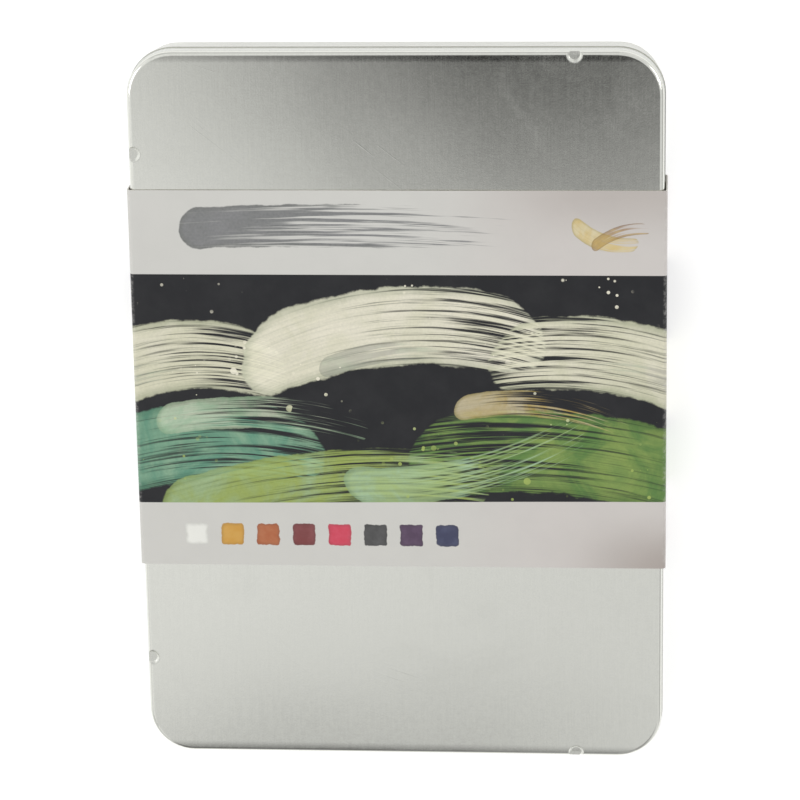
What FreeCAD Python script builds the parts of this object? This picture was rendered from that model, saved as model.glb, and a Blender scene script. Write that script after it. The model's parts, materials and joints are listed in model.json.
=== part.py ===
"""A hinged tinplate box holding a watercolour drawing set, with a printed card sleeve round it.

Frame: millimetres, +Z up. The tin lies flat with its lid up, its long side along Y and its hinge
on the +X side. The origin is under the middle of the tin, on the surface that the sleeve lies on.
"""
import FreeCAD
import Part
import math
import os

V = FreeCAD.Vector

# Pencils
PENCIL_COUNT = 8
PENCIL_LENGTH = 176.0
PENCIL_FLATS = 6.9
PENCIL_PITCH = 8.3
POINT_LENGTH = 21.0
LEAD_RADIUS = 1.75
LEAD_TIP_RADIUS = 0.35
LEAD_PLAY = 0.02

# Pencil bay of the insert tray
BAY_SIDE_PLAY = 0.3
BAY_TIP_ROOM = 4.0
BAY_FINGER_ROOM = 6.0
BAY_PROUD = 0.3
RIDGE_WIDTH = 2.8
RIDGE_HEIGHT = 2.0
RIDGE_LENGTH = 18.0
RIDGE_FROM_TIP_END = 40.0
RIDGE_FROM_BLUNT_END = 30.0

# Brush
BRUSH_SLOT_WIDTH = 9.0
BRUSH_HAIR_LENGTH = 17.0
BRUSH_HAIR_RADIUS = 2.5
BRUSH_HAIR_BELLY_FROM_FERRULE = 6.0
BRUSH_HAIR_TIP_RADIUS = 0.15
BRUSH_HAIR_TUCK = 5.0
FERRULE_LENGTH = 26.0
FERRULE_FRONT_RADIUS = 2.3
FERRULE_REAR_RADIUS = 2.9
FERRULE_WALL = 0.25
FERRULE_CRIMP_HEIGHT = 0.2
FERRULE_CRIMP_WIDTH = 1.2
FERRULE_CRIMP_FROM_REAR = 5.0
FERRULE_CRIMP_PITCH = 2.2
FERRULE_FIT = 0.03
HANDLE_LENGTH = 122.0
HANDLE_TENON = 9.0
HANDLE_BELLY_RADIUS = 3.5
HANDLE_BELLY_FROM_FERRULE = 20.0
HANDLE_END_RADIUS = 1.5

# Half pans and their paint cakes
PAN_COUNT = 8
PAN_LENGTH = 19.5
PAN_WIDTH = 16.0
PAN_HEIGHT = 9.5
PAN_WALL = 0.9
PAN_CORNER = 1.6
PAN_PITCH = 22.1
PAN_PLAY = 0.3
PAN_PROUD = 0.4
CAKE_FIT = 0.05
CAKE_BELOW_RIM = 1.5
CAKE_EDGE_RADIUS = 0.6

# Pencil sharpener
SHARPENER_LENGTH = 25.0
SHARPENER_WIDTH = 15.0
SHARPENER_ENTRY_HEIGHT = 10.4
SHARPENER_TIP_HEIGHT = 7.2
SHARPENER_GRIP_RADIUS = 22.0
SHARPENER_GRIP_DEPTH = 1.6
SHARPENER_BORE_RADIUS = 4.1
SHARPENER_BORE_TIP_RADIUS = 0.9
SHARPENER_BORE_LENGTH = 22.0
SHARPENER_BORE_HEIGHT = 5.2
CHIP_SLOT_WIDTH = 3.4
CHIP_SLOT_WALL = 1.6
BLADE_LENGTH = 23.0
BLADE_WIDTH = 7.0
BLADE_THICKNESS = 0.6
BLADE_OVERHANG = 0.3
SCREW_RADIUS = 1.1
SCREW_HEAD_RADIUS = 2.1
SCREW_HEAD_HEIGHT = 0.9
SCREW_SLOT_WIDTH = 0.5
SCREW_SLOT_DEPTH = 0.45
SCREW_LENGTH = 3.5
SCREW_FROM_CUTTING_EDGE = 4.2
SHARPENER_PLAY = 0.7
SHARPENER_PROUD = 0.5

# Kneaded eraser in its wrapper
ERASER_LENGTH = 41.0
ERASER_WIDTH = 18.6
ERASER_HEIGHT = 8.6
ERASER_CORNER = 1.6
WRAPPER = 0.25
WRAPPER_FIT = 0.1
WRAPPER_OVERLAP = 1.0
ERASER_PLAY = 0.7
ERASER_PROUD = 1.0

# Sanding block
PADDLE_LENGTH = 126.0
PADDLE_WIDTH = 20.0
PADDLE_THICKNESS = 4.4
PADDLE_NOSE_LENGTH = 26.0
PADDLE_NOSE_RADIUS = 5.0
PADDLE_HOLE_RADIUS = 1.6
PADDLE_HOLE_FROM_NOSE = 11.0
SHEET_COUNT = 8
SANDPAPER = 0.33
PAD_LENGTH = 66.0
STAPLE_WIRE = 0.5
STAPLE_CROWN = 10.0
STAPLE_LEG = 4.6
STAPLE_FROM_PAD_END = 4.0
PADDLE_PLAY = 0.6
PADDLE_PROUD = 1.0

# Insert tray: thin formed sheet
TRAY_SHEET = 0.6
TRAY_BELOW_RIM = 0.6
TRAY_SKIRT_INSET = 1.0
FLANGE_CLEARANCE = 0.35
POCKET_CORNER = 2.0
SQUARE_PIECE_CORNER = 3.0  # widest pocket corner round a square-cornered piece, in plays
EDGE_MARGIN_FRONT = 2.8
EDGE_MARGIN_HINGE = 9.4
END_MARGIN_TIPS = 14.4
END_MARGIN_BLUNT = 6.4
BRUSH_GAP = 1.8
PAN_ROW_GAP = 5.0
ACCESSORY_ROW_GAP = 10.5
SHARPENER_SIDE_GAP = 1.2
SHARPENER_PAN_GAP = 1.8
ERASER_PADDLE_GAP = 4.0
PAN_END_MARGIN = 2.4
SHARPENER_END_MARGIN = 7.0
ERASER_END_MARGIN = 9.0
PADDLE_END_MARGIN = 2.4

# Tinplate box
TINPLATE = 0.35
TIN_HEIGHT = 19.6
CORNER_RADIUS = 13.0
LID_GAP = 0.5
SKIRT_DEPTH = 7.0
LID_FOLD_RADIUS = 1.3
HEM_HEIGHT = 1.4
HEM_PROUD = 0.25
BASE_HEIGHT = 16.8
BASE_FOLD_RADIUS = 2.0
RIM_CURL = 1.4
RIM_CURL_ROUND = 0.55
PANEL_INSET = 7.0
PANEL_RISE = 0.5
DIMPLE_RADIUS = 3.0
DIMPLE_INSET = 1.1
DIMPLE_RISE = 2.0  # how far the middle of the forming ball stands above the lid
DIMPLE_DEPTH = 0.6  # the forming ball has a flat on it, which leaves a flat floor
DIMPLE_FROM_END = 29.7
DIMPLE_FROM_HINGE = 25.2

# Hinge
HINGE_FROM_END = 37.7
KNUCKLE_LENGTH = 10.0
KNUCKLE_GAP = 0.3
KNUCKLE_WALL = 0.5
PIN_RADIUS = 0.6
PIN_CLEARANCE = 0.05
PIN_HEAD_RADIUS = 0.85
PIN_HEAD_LENGTH = 0.4
HINGE_DROP = 2.0
RECESS_CLEARANCE = 0.4

# Card sleeve
CARD = 0.4
SLEEVE_FROM_TIP_END = 40.0
SLEEVE_FROM_BLUNT_END = 59.3
SLEEVE_SIDE_CLEARANCE = 0.25
SLEEVE_TOP_CLEARANCE = 0.15
SLEEVE_CREASE_RADIUS = 1.2

# What the sharpener and the wrapped eraser measure over all
sharpener_slope = math.atan2(SHARPENER_ENTRY_HEIGHT - SHARPENER_TIP_HEIGHT, SHARPENER_LENGTH)
sharpener_reach = max(SHARPENER_LENGTH, BLADE_LENGTH * math.cos(sharpener_slope))
wrapped_height = ERASER_HEIGHT + 2 * (WRAPPER_FIT + WRAPPER)
wrapped_width = ERASER_WIDTH + 2 * (WRAPPER_FIT + WRAPPER)
wrapped_length = ERASER_LENGTH + 2 * WRAPPER_OVERLAP
pad_thickness = SHEET_COUNT * SANDPAPER

# Pockets of the tray
bay_width = PENCIL_COUNT * PENCIL_PITCH + 2 * BAY_SIDE_PLAY
bay_length = BAY_TIP_ROOM + PENCIL_LENGTH + BAY_FINGER_ROOM
brush_length = BRUSH_HAIR_LENGTH + FERRULE_LENGTH + HANDLE_LENGTH
brush_slot_length = max(bay_length, BAY_TIP_ROOM + brush_length + BAY_FINGER_ROOM)
pan_pocket_length = PAN_LENGTH + 2 * PAN_PLAY
pan_pocket_width = PAN_WIDTH + 2 * PAN_PLAY
sharpener_pocket_length = sharpener_reach + 2 * SHARPENER_PLAY
sharpener_pocket_width = SHARPENER_WIDTH + 2 * SHARPENER_PLAY
eraser_pocket_width = wrapped_width + 2 * ERASER_PLAY
eraser_pocket_length = wrapped_length + 2 * ERASER_PLAY
paddle_pocket_width = PADDLE_WIDTH + 2 * PADDLE_PLAY
paddle_pocket_length = PADDLE_LENGTH + 2 * PADDLE_PLAY

# Rows of the tray, from its front edge (-X) to its hinge edge (+X)
accessory_width = max(paddle_pocket_width, eraser_pocket_width)
pan_row_reach = max(PAN_ROW_GAP + pan_pocket_length / 2, SHARPENER_SIDE_GAP + sharpener_pocket_length / 2)
accessory_row_reach = max(pan_pocket_length / 2 + ACCESSORY_ROW_GAP,
                          sharpener_pocket_length / 2 + SHARPENER_SIDE_GAP)
flange_width = (EDGE_MARGIN_FRONT + bay_width + BRUSH_GAP + BRUSH_SLOT_WIDTH + pan_row_reach
                + accessory_row_reach + accessory_width + EDGE_MARGIN_HINGE)
pan_row_length = (PAN_END_MARGIN + (PAN_COUNT - 1) * PAN_PITCH + pan_pocket_width + SHARPENER_PAN_GAP
                  + sharpener_pocket_width + SHARPENER_END_MARGIN)
accessory_row_length = (PADDLE_END_MARGIN + paddle_pocket_length + ERASER_PADDLE_GAP
                        + eraser_pocket_length + ERASER_END_MARGIN)
pencil_row_length = END_MARGIN_TIPS + max(bay_length, brush_slot_length) + END_MARGIN_BLUNT
flange_length = max(pencil_row_length, pan_row_length, accessory_row_length)
front = -flange_width / 2
tips_end = flange_length / 2
blunt_end = -flange_length / 2

bay_x0 = front + EDGE_MARGIN_FRONT
bay_x1 = bay_x0 + bay_width
bay_y1 = tips_end - END_MARGIN_TIPS
bay_y0 = bay_y1 - bay_length
brush_x = bay_x1 + BRUSH_GAP + BRUSH_SLOT_WIDTH / 2
brush_y0 = bay_y1 - brush_slot_length
pan_x = brush_x + BRUSH_SLOT_WIDTH / 2 + pan_row_reach
accessory_x = pan_x + accessory_row_reach + accessory_width / 2

# Tin sizes that follow from the tray
base_width = flange_width + 2 * (FLANGE_CLEARANCE + RIM_CURL)
base_length = flange_length + 2 * (FLANGE_CLEARANCE + RIM_CURL)
lid_width = base_width + 2 * (LID_GAP + TINPLATE)
lid_length = base_length + 2 * (LID_GAP + TINPLATE)
base_corner = CORNER_RADIUS - LID_GAP - TINPLATE

# Levels
base_z = CARD
rim_z = base_z + BASE_HEIGHT
lid_z = base_z + TIN_HEIGHT
skirt_z = lid_z - SKIRT_DEPTH
floor_z = base_z + TINPLATE
tray_z = rim_z - TRAY_BELOW_RIM

# Hinge line
knuckle_radius = PIN_RADIUS + PIN_CLEARANCE + KNUCKLE_WALL
hinge_x = lid_width / 2 - knuckle_radius
hinge_z = skirt_z - HINGE_DROP
hinge_length = 3 * KNUCKLE_LENGTH + 2 * KNUCKLE_GAP
hinge_outer_y = lid_length / 2 - HINGE_FROM_END
hinge_middles = {"upper": hinge_outer_y - hinge_length / 2, "lower": hinge_length / 2 - hinge_outer_y}
recess_x = hinge_x - knuckle_radius - RECESS_CLEARANCE


def box(x0, x1, y0, y1, z0, z1):
    """An upright block between two corners."""
    return Part.makeBox(x1 - x0, y1 - y0, z1 - z0, V(x0, y0, z0))


def rounded_outline(width, length, radius, z=0.0, x=0.0, y=0.0):
    """A closed wire: a rectangle about (x, y) with round corners."""
    half_x = width / 2
    half_y = length / 2
    edges = []
    corners = ((1, 1), (-1, 1), (-1, -1), (1, -1))
    for index, (sx, sy) in enumerate(corners):
        centre = V(x + sx * (half_x - radius), y + sy * (half_y - radius), z)
        turn = math.radians(90 * index)
        ends = [turn, turn + math.radians(45), turn + math.radians(90)]
        arc = [centre + V(radius * math.cos(a), radius * math.sin(a), 0) for a in ends]
        if edges:
            edges.append(Part.LineSegment(last, arc[0]).toShape())
        else:
            first = arc[0]
        edges.append(Part.Arc(*arc).toShape())
        last = arc[2]
    edges.append(Part.LineSegment(last, first).toShape())
    return Part.Wire(edges)


def rounded_block(width, length, radius, z0, z1, x=0.0, y=0.0):
    """An upright block with round vertical corners."""
    outline = rounded_outline(width, length, radius, z0, x, y)
    return Part.Face(outline).extrude(V(0, 0, z1 - z0))


def edges_at(shape, z):
    """The edges of a shape that lie flat at one height."""
    tolerance = 1e-4
    return [e for e in shape.Edges if all(abs(v.Z - z) < tolerance for v in e.Vertexes)]


def fused(shapes):
    """One solid from many that touch or overlap."""
    first = shapes[0]
    whole = first.fuse(shapes[1:]) if len(shapes) > 1 else first
    return whole.removeSplitter()


def turned(points, x, z):
    """A solid of revolution about a line along Y, from its (radius, y) outline."""
    outline = Part.makePolygon([V(x + r, y, z) for r, y in points + points[:1]])
    return Part.Face(outline).revolve(V(x, 0, z), V(0, 1, 0), 360)


def rod(radius, y0, y1, x, z):
    """A round rod along Y."""
    return Part.makeCylinder(radius, y1 - y0, V(x, y0, z), V(0, 1, 0))


def dimples():
    """The centres of the lid's four stops: two on the free long side, one on each short side."""
    side_y = lid_length / 2 - DIMPLE_FROM_END
    end_x = lid_width / 2 - DIMPLE_FROM_HINGE
    front_x = -lid_width / 2 + DIMPLE_INSET
    end_y = lid_length / 2 - DIMPLE_INSET
    return [(front_x, side_y), (front_x, -side_y), (end_x, end_y), (end_x, -end_y)]


def dimple_ball(x, y, offset):
    """The flat-ended ball that presses one stop into the lid, made larger by an offset."""
    radius = DIMPLE_RADIUS + offset
    floor_z = lid_z - DIMPLE_DEPTH - offset
    ball = Part.makeSphere(radius, V(x, y, lid_z + DIMPLE_RISE))
    return ball.common(box(x - radius, x + radius, y - radius, y + radius, floor_z, lid_z + DIMPLE_RISE))


def hinge_segments(middle):
    """The y spans of one hinge's three knuckles: base, lid, base."""
    step = KNUCKLE_LENGTH + KNUCKLE_GAP
    starts = [middle - KNUCKLE_LENGTH / 2 + step * i for i in (-1, 0, 1)]
    return [(y, y + KNUCKLE_LENGTH) for y in starts]


def knuckle_bore(y0, y1):
    """The hole for a hinge pin through one knuckle."""
    return rod(PIN_RADIUS + PIN_CLEARANCE, y0, y1, hinge_x, hinge_z)


def tin_lid():
    """The drawn lid: plate, folded edge, skirt with an outward hem, stops and hinge tongues."""
    outer = rounded_block(lid_width, lid_length, CORNER_RADIUS, skirt_z, lid_z)
    outer = outer.makeFillet(LID_FOLD_RADIUS, edges_at(outer, lid_z))
    inner_corner = CORNER_RADIUS - TINPLATE
    inner_z = lid_z - TINPLATE
    inner = rounded_block(lid_width - 2 * TINPLATE, lid_length - 2 * TINPLATE, inner_corner,
                          skirt_z, inner_z)
    inner = inner.makeFillet(LID_FOLD_RADIUS - TINPLATE, edges_at(inner, inner_z))
    shell = outer.cut(inner)

    hem_top = skirt_z + HEM_HEIGHT
    hem = rounded_block(lid_width + 2 * HEM_PROUD, lid_length + 2 * HEM_PROUD,
                        CORNER_RADIUS + HEM_PROUD, skirt_z, hem_top)
    hem = hem.cut(rounded_block(lid_width, lid_length, CORNER_RADIUS, skirt_z, hem_top))
    pieces = [shell, hem]

    for x, y in dimples():
        dent = dimple_ball(x, y, 0.0)
        back = dimple_ball(x, y, TINPLATE)
        pieces = [piece.cut(dent) for piece in pieces]
        pieces.append(back.cut(dent).common(outer))

    for middle in hinge_middles.values():
        y0, y1 = hinge_segments(middle)[1]
        tongue = box(lid_width / 2 - TINPLATE, lid_width / 2, y0, y1, hinge_z, skirt_z + HEM_HEIGHT)
        knuckle = rod(knuckle_radius, y0, y1, hinge_x, hinge_z)
        bore = knuckle_bore(y0, y1)
        pieces.append(knuckle.fuse(tongue).cut(bore))
    return fused(pieces)


def tin_base():
    """The drawn base: raised bottom panel, walls, inward curled rim, hinge recesses and knuckles."""
    def drawn(offset, z0, fold):
        block = rounded_block(base_width - 2 * offset, base_length - 2 * offset,
                              base_corner - offset, z0, rim_z)
        return block.makeFillet(fold, edges_at(block, z0))

    def panel(offset, z0):
        inset = 2 * (PANEL_INSET - offset)
        corner = base_corner - TINPLATE
        return rounded_block(base_width - inset, base_length - inset, corner, z0, z0 + PANEL_RISE)

    def recess(offset):
        reach = hinge_length / 2 + RECESS_CLEARANCE + PIN_HEAD_LENGTH + offset
        rise = knuckle_radius + RECESS_CLEARANCE + offset
        return [box(recess_x - offset, base_width / 2 + TINPLATE, middle - reach, middle + reach,
                    hinge_z - rise, hinge_z + rise) for middle in hinge_middles.values()]

    outside = drawn(0, base_z, BASE_FOLD_RADIUS).cut(panel(0, base_z))
    outside = outside.cut(recess(0))
    inside = drawn(TINPLATE, floor_z, BASE_FOLD_RADIUS - TINPLATE).cut(panel(TINPLATE, floor_z))
    inside = inside.cut(recess(TINPLATE))
    shell = outside.cut(inside)

    curl = rounded_block(base_width, base_length, base_corner, rim_z - RIM_CURL, rim_z)
    curl = curl.cut(rounded_block(base_width - 2 * RIM_CURL, base_length - 2 * RIM_CURL,
                                  base_corner - RIM_CURL, rim_z - RIM_CURL, rim_z))
    curl = curl.makeFillet(RIM_CURL_ROUND, edges_at(curl, rim_z))
    top_cut = rounded_block(base_width, base_length, base_corner, rim_z - RIM_CURL, rim_z)
    pieces = [shell.cut(top_cut), curl]

    for middle in hinge_middles.values():
        lower, _, upper = hinge_segments(middle)
        for y0, y1 in (lower, upper):
            foot = hinge_z - knuckle_radius
            tab = box(recess_x - TINPLATE / 2, hinge_x, y0, y1, foot, foot + KNUCKLE_WALL)
            knuckle = rod(knuckle_radius, y0, y1, hinge_x, hinge_z)
            pieces.append(knuckle.fuse(tab).cut(knuckle_bore(y0, y1)))
    return fused(pieces)


def hinge_pin(middle):
    """A wire pin through one hinge, with both its ends peened over."""
    y0 = middle - hinge_length / 2
    y1 = middle + hinge_length / 2
    wire = rod(PIN_RADIUS, y0 - PIN_HEAD_LENGTH, y1 + PIN_HEAD_LENGTH, hinge_x, hinge_z)
    heads = [rod(PIN_HEAD_RADIUS, y0 - PIN_HEAD_LENGTH, y0, hinge_x, hinge_z),
             rod(PIN_HEAD_RADIUS, y1, y1 + PIN_HEAD_LENGTH, hinge_x, hinge_z)]
    return fused([wire] + heads)


# Heights at which the loose pieces lie in the tray
pencil_floor = tray_z + BAY_PROUD - PENCIL_FLATS
pencil_z = pencil_floor + PENCIL_FLATS / 2
brush_z = pencil_floor + HANDLE_BELLY_RADIUS
pan_floor = tray_z + PAN_PROUD - PAN_HEIGHT
sharpener_floor = tray_z + SHARPENER_PROUD - SHARPENER_ENTRY_HEIGHT
eraser_floor = tray_z + ERASER_PROUD - wrapped_height
paddle_floor = tray_z + PADDLE_PROUD - PADDLE_THICKNESS - pad_thickness

# Places of the loose pieces along the tray
pencil_tip_y = bay_y1 - BAY_TIP_ROOM
sharpener_y = tips_end - SHARPENER_END_MARGIN - SHARPENER_PLAY - SHARPENER_WIDTH / 2
eraser_y = tips_end - ERASER_END_MARGIN - ERASER_PLAY - wrapped_length / 2
paddle_y0 = blunt_end + PADDLE_END_MARGIN + PADDLE_PLAY
paddle_y1 = paddle_y0 + PADDLE_LENGTH


def pan_y(index):
    """The middle of one pan, counted from the sharpener's end of the row."""
    last = blunt_end + PAN_END_MARGIN + PAN_PLAY + PAN_WIDTH / 2
    return last + (PAN_COUNT - 1 - index) * PAN_PITCH


def pencil_x(index):
    """The axis of one pencil, counted from the brush's side."""
    return bay_x1 - BAY_SIDE_PLAY - PENCIL_PITCH * (index + 0.5)


def tray_pockets():
    """Every pocket as (x, y, width, length, floor height, corner radius)."""
    def square_corner(play):
        return min(POCKET_CORNER, SQUARE_PIECE_CORNER * play)

    pockets = [
        ((bay_x0 + bay_x1) / 2, (bay_y0 + bay_y1) / 2, bay_width, bay_length, pencil_floor, POCKET_CORNER),
        (brush_x, (brush_y0 + bay_y1) / 2, BRUSH_SLOT_WIDTH, brush_slot_length, pencil_floor, POCKET_CORNER),
        (pan_x, sharpener_y, sharpener_pocket_length, sharpener_pocket_width, sharpener_floor,
         square_corner(SHARPENER_PLAY)),
        (accessory_x, eraser_y, eraser_pocket_width, eraser_pocket_length, eraser_floor,
         square_corner(ERASER_PLAY)),
        (accessory_x, (paddle_y0 + paddle_y1) / 2, paddle_pocket_width, paddle_pocket_length,
         paddle_floor, square_corner(PADDLE_PLAY)),
    ]
    for index in range(PAN_COUNT):
        pockets.append((pan_x, pan_y(index), pan_pocket_length, pan_pocket_width, pan_floor, POCKET_CORNER))
    return pockets


def pencil_ridge(x, y0):
    """A low pointed ridge that keeps two pencils apart."""
    half = RIDGE_WIDTH / 2
    root = pencil_floor - TRAY_SHEET / 2
    corners = [V(x - half, y0, root), V(x + half, y0, root),
               V(x + half, y0, pencil_floor), V(x, y0, pencil_floor + RIDGE_HEIGHT),
               V(x - half, y0, pencil_floor)]
    outline = Part.makePolygon(corners + corners[:1])
    return Part.Face(outline).extrude(V(0, RIDGE_LENGTH, 0))


def insert_tray():
    """The formed black tray: flange, standing skirt and a thin-walled pocket for every piece."""
    flange_corner = base_corner - RIM_CURL - FLANGE_CLEARANCE
    skirt_corner = flange_corner - TRAY_SKIRT_INSET
    skirt_width = flange_width - 2 * TRAY_SKIRT_INSET
    skirt_length = flange_length - 2 * TRAY_SKIRT_INSET
    flange = rounded_block(flange_width, flange_length, flange_corner, tray_z - TRAY_SHEET, tray_z)
    skirt = rounded_block(skirt_width, skirt_length, skirt_corner, floor_z, tray_z)
    hollow = rounded_block(skirt_width - 2 * TRAY_SHEET, skirt_length - 2 * TRAY_SHEET,
                           skirt_corner - TRAY_SHEET, floor_z, tray_z)
    formed = [flange, skirt.cut(hollow)]
    openings = []
    for x, y, width, length, pocket_z, corner in tray_pockets():
        formed.append(rounded_block(width + 2 * TRAY_SHEET, length + 2 * TRAY_SHEET,
                                    corner + TRAY_SHEET, pocket_z - TRAY_SHEET, tray_z, x, y))
        openings.append(rounded_block(width, length, corner, pocket_z, tray_z + TRAY_SHEET, x, y))
    tray = fused(formed).cut(openings)

    ridges = []
    for index in range(PENCIL_COUNT - 1):
        x = pencil_x(index) - PENCIL_PITCH / 2
        ridges.append(pencil_ridge(x, bay_y1 - RIDGE_FROM_TIP_END - RIDGE_LENGTH))
        ridges.append(pencil_ridge(x, bay_y0 + RIDGE_FROM_BLUNT_END))
    return fused([tray] + ridges)


def point_solid(radius, x):
    """A rod of the given radius about a pencil's axis, sharpened at its +Y end."""
    corner_radius = PENCIL_FLATS / math.sqrt(3)
    slope = (corner_radius - LEAD_TIP_RADIUS) / POINT_LENGTH
    blunt_y = pencil_tip_y - PENCIL_LENGTH
    shoulder_y = pencil_tip_y - (radius - LEAD_TIP_RADIUS) / slope
    outline = [(0, blunt_y), (radius, blunt_y), (radius, shoulder_y),
               (LEAD_TIP_RADIUS, pencil_tip_y), (0, pencil_tip_y)]
    return turned(outline, x, pencil_z)


def pencil_barrel(index):
    """A six-sided cedar casing whose point cuts a scalloped edge into the paint."""
    x = pencil_x(index)
    corner_radius = PENCIL_FLATS / math.sqrt(3)
    blunt_y = pencil_tip_y - PENCIL_LENGTH
    corners = [V(x + corner_radius * math.cos(math.radians(60 * k)), blunt_y,
                 pencil_z + corner_radius * math.sin(math.radians(60 * k))) for k in range(6)]
    prism = Part.Face(Part.makePolygon(corners + corners[:1])).extrude(V(0, PENCIL_LENGTH, 0))
    sharpened = prism.common(point_solid(corner_radius, x))
    return sharpened.cut(rod(LEAD_RADIUS + LEAD_PLAY, blunt_y, pencil_tip_y, x, pencil_z))


def pencil_lead(index):
    """The round pigment core, pointed on the same cone as its casing."""
    return point_solid(LEAD_RADIUS, pencil_x(index))


def brush_hair():
    """The round pointed head, tucked into the ferrule."""
    tip_y = pencil_tip_y
    mouth_y = tip_y - BRUSH_HAIR_LENGTH
    root_radius = FERRULE_FRONT_RADIUS - FERRULE_WALL - FERRULE_FIT
    belly_y = mouth_y + BRUSH_HAIR_BELLY_FROM_FERRULE
    root_y = mouth_y - BRUSH_HAIR_TUCK

    def at(radius, y):
        return V(brush_x + radius, y, brush_z)

    side = Part.BSplineCurve()
    side.interpolate([at(root_radius, mouth_y), at(BRUSH_HAIR_RADIUS, belly_y),
                      at(BRUSH_HAIR_TIP_RADIUS, tip_y)])
    outline = Part.Wire([
        Part.LineSegment(at(0, root_y), at(root_radius, root_y)).toShape(),
        Part.LineSegment(at(root_radius, root_y), at(root_radius, mouth_y)).toShape(),
        side.toShape(),
        Part.LineSegment(at(BRUSH_HAIR_TIP_RADIUS, tip_y), at(0, tip_y)).toShape(),
        Part.LineSegment(at(0, tip_y), at(0, root_y)).toShape()])
    return Part.Face(outline).revolve(V(brush_x, 0, brush_z), V(0, 1, 0), 360)


def brush_ferrule():
    """A tapered metal tube with two raised crimps near its rear end."""
    front_y = pencil_tip_y - BRUSH_HAIR_LENGTH
    rear_y = front_y - FERRULE_LENGTH

    def radius_at(y):
        share = (front_y - y) / FERRULE_LENGTH
        return FERRULE_FRONT_RADIUS + share * (FERRULE_REAR_RADIUS - FERRULE_FRONT_RADIUS)

    outside = [(FERRULE_FRONT_RADIUS, front_y)]
    for number in (1, 0):
        crimp_y = rear_y + FERRULE_CRIMP_FROM_REAR + number * FERRULE_CRIMP_PITCH
        outside.append((radius_at(crimp_y + FERRULE_CRIMP_WIDTH / 2), crimp_y + FERRULE_CRIMP_WIDTH / 2))
        outside.append((radius_at(crimp_y) + FERRULE_CRIMP_HEIGHT, crimp_y))
        outside.append((radius_at(crimp_y - FERRULE_CRIMP_WIDTH / 2), crimp_y - FERRULE_CRIMP_WIDTH / 2))
    outside.append((FERRULE_REAR_RADIUS, rear_y))
    inside = [(FERRULE_REAR_RADIUS - FERRULE_WALL, rear_y), (FERRULE_FRONT_RADIUS - FERRULE_WALL, front_y)]
    return turned(outside + inside, brush_x, brush_z)


def brush_handle():
    """The lacquered wooden handle: tenon in the ferrule, belly, long taper and a round end."""
    shoulder_y = pencil_tip_y - BRUSH_HAIR_LENGTH - FERRULE_LENGTH
    end_y = shoulder_y - HANDLE_LENGTH
    belly_y = shoulder_y - HANDLE_BELLY_FROM_FERRULE
    taper = (FERRULE_REAR_RADIUS - FERRULE_FRONT_RADIUS) / FERRULE_LENGTH
    tenon_radius = FERRULE_REAR_RADIUS - FERRULE_WALL - FERRULE_FIT
    tenon_end_radius = tenon_radius - taper * HANDLE_TENON
    tail_y = end_y + HANDLE_END_RADIUS

    def at(radius, y):
        return V(brush_x + radius, y, brush_z)

    along = V(0, -1, 0)
    swell = Part.BSplineCurve()
    swell.interpolate(Points=[at(FERRULE_REAR_RADIUS, shoulder_y), at(HANDLE_BELLY_RADIUS, belly_y)],
                      InitialTangent=along, FinalTangent=along)
    taper_side = Part.BSplineCurve()
    taper_side.interpolate(Points=[at(HANDLE_BELLY_RADIUS, belly_y), at(HANDLE_END_RADIUS, tail_y)],
                           InitialTangent=along, FinalTangent=along)
    diagonal = HANDLE_END_RADIUS * math.sqrt(0.5)
    end_arc = Part.Arc(at(HANDLE_END_RADIUS, tail_y), at(diagonal, tail_y - diagonal), at(0, end_y))
    tenon_y = shoulder_y + HANDLE_TENON
    outline = Part.Wire([
        Part.LineSegment(at(0, tenon_y), at(tenon_end_radius, tenon_y)).toShape(),
        Part.LineSegment(at(tenon_end_radius, tenon_y), at(tenon_radius, shoulder_y)).toShape(),
        Part.LineSegment(at(tenon_radius, shoulder_y), at(FERRULE_REAR_RADIUS, shoulder_y)).toShape(),
        swell.toShape(), taper_side.toShape(), end_arc.toShape(),
        Part.LineSegment(at(0, end_y), at(0, tenon_y)).toShape()])
    return Part.Face(outline).revolve(V(brush_x, 0, brush_z), V(0, 1, 0), 360)


def half_pan(index):
    """A plastic cup for one cake of paint."""
    y = pan_y(index)
    cup = rounded_block(PAN_LENGTH, PAN_WIDTH, PAN_CORNER, pan_floor, pan_floor + PAN_HEIGHT, pan_x, y)
    inside = rounded_block(PAN_LENGTH - 2 * PAN_WALL, PAN_WIDTH - 2 * PAN_WALL, PAN_CORNER - PAN_WALL,
                           pan_floor + PAN_WALL, pan_floor + PAN_HEIGHT, pan_x, y)
    return cup.cut(inside)


def paint_cake(index):
    """A dry block of paint with a soft edge, below the rim of its pan."""
    margin = 2 * (PAN_WALL + CAKE_FIT)
    top = pan_floor + PAN_HEIGHT - CAKE_BELOW_RIM
    block = rounded_block(PAN_LENGTH - margin, PAN_WIDTH - margin, PAN_CORNER - PAN_WALL,
                          pan_floor + PAN_WALL, top, pan_x, pan_y(index))
    return block.makeFillet(CAKE_EDGE_RADIUS, edges_at(block, top))


# Sharpener, set across the tray with its entry end towards the brush
sharpener_x0 = pan_x - SHARPENER_LENGTH / 2


def on_sharpener(shape):
    """Lays a shape made about the origin, +Z up, on the sloping top, midway along it."""
    middle_z = sharpener_floor + (SHARPENER_ENTRY_HEIGHT + SHARPENER_TIP_HEIGHT) / 2
    placed = shape.copy()
    placed.rotate(V(0, 0, 0), V(0, 1, 0), math.degrees(sharpener_slope))
    placed.translate(V(pan_x, sharpener_y, middle_z))
    return placed


def screw_y():
    """How far the blade's screw stands from the cutting edge, across the body."""
    return BLADE_OVERHANG - SCREW_FROM_CUTTING_EDGE


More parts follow.
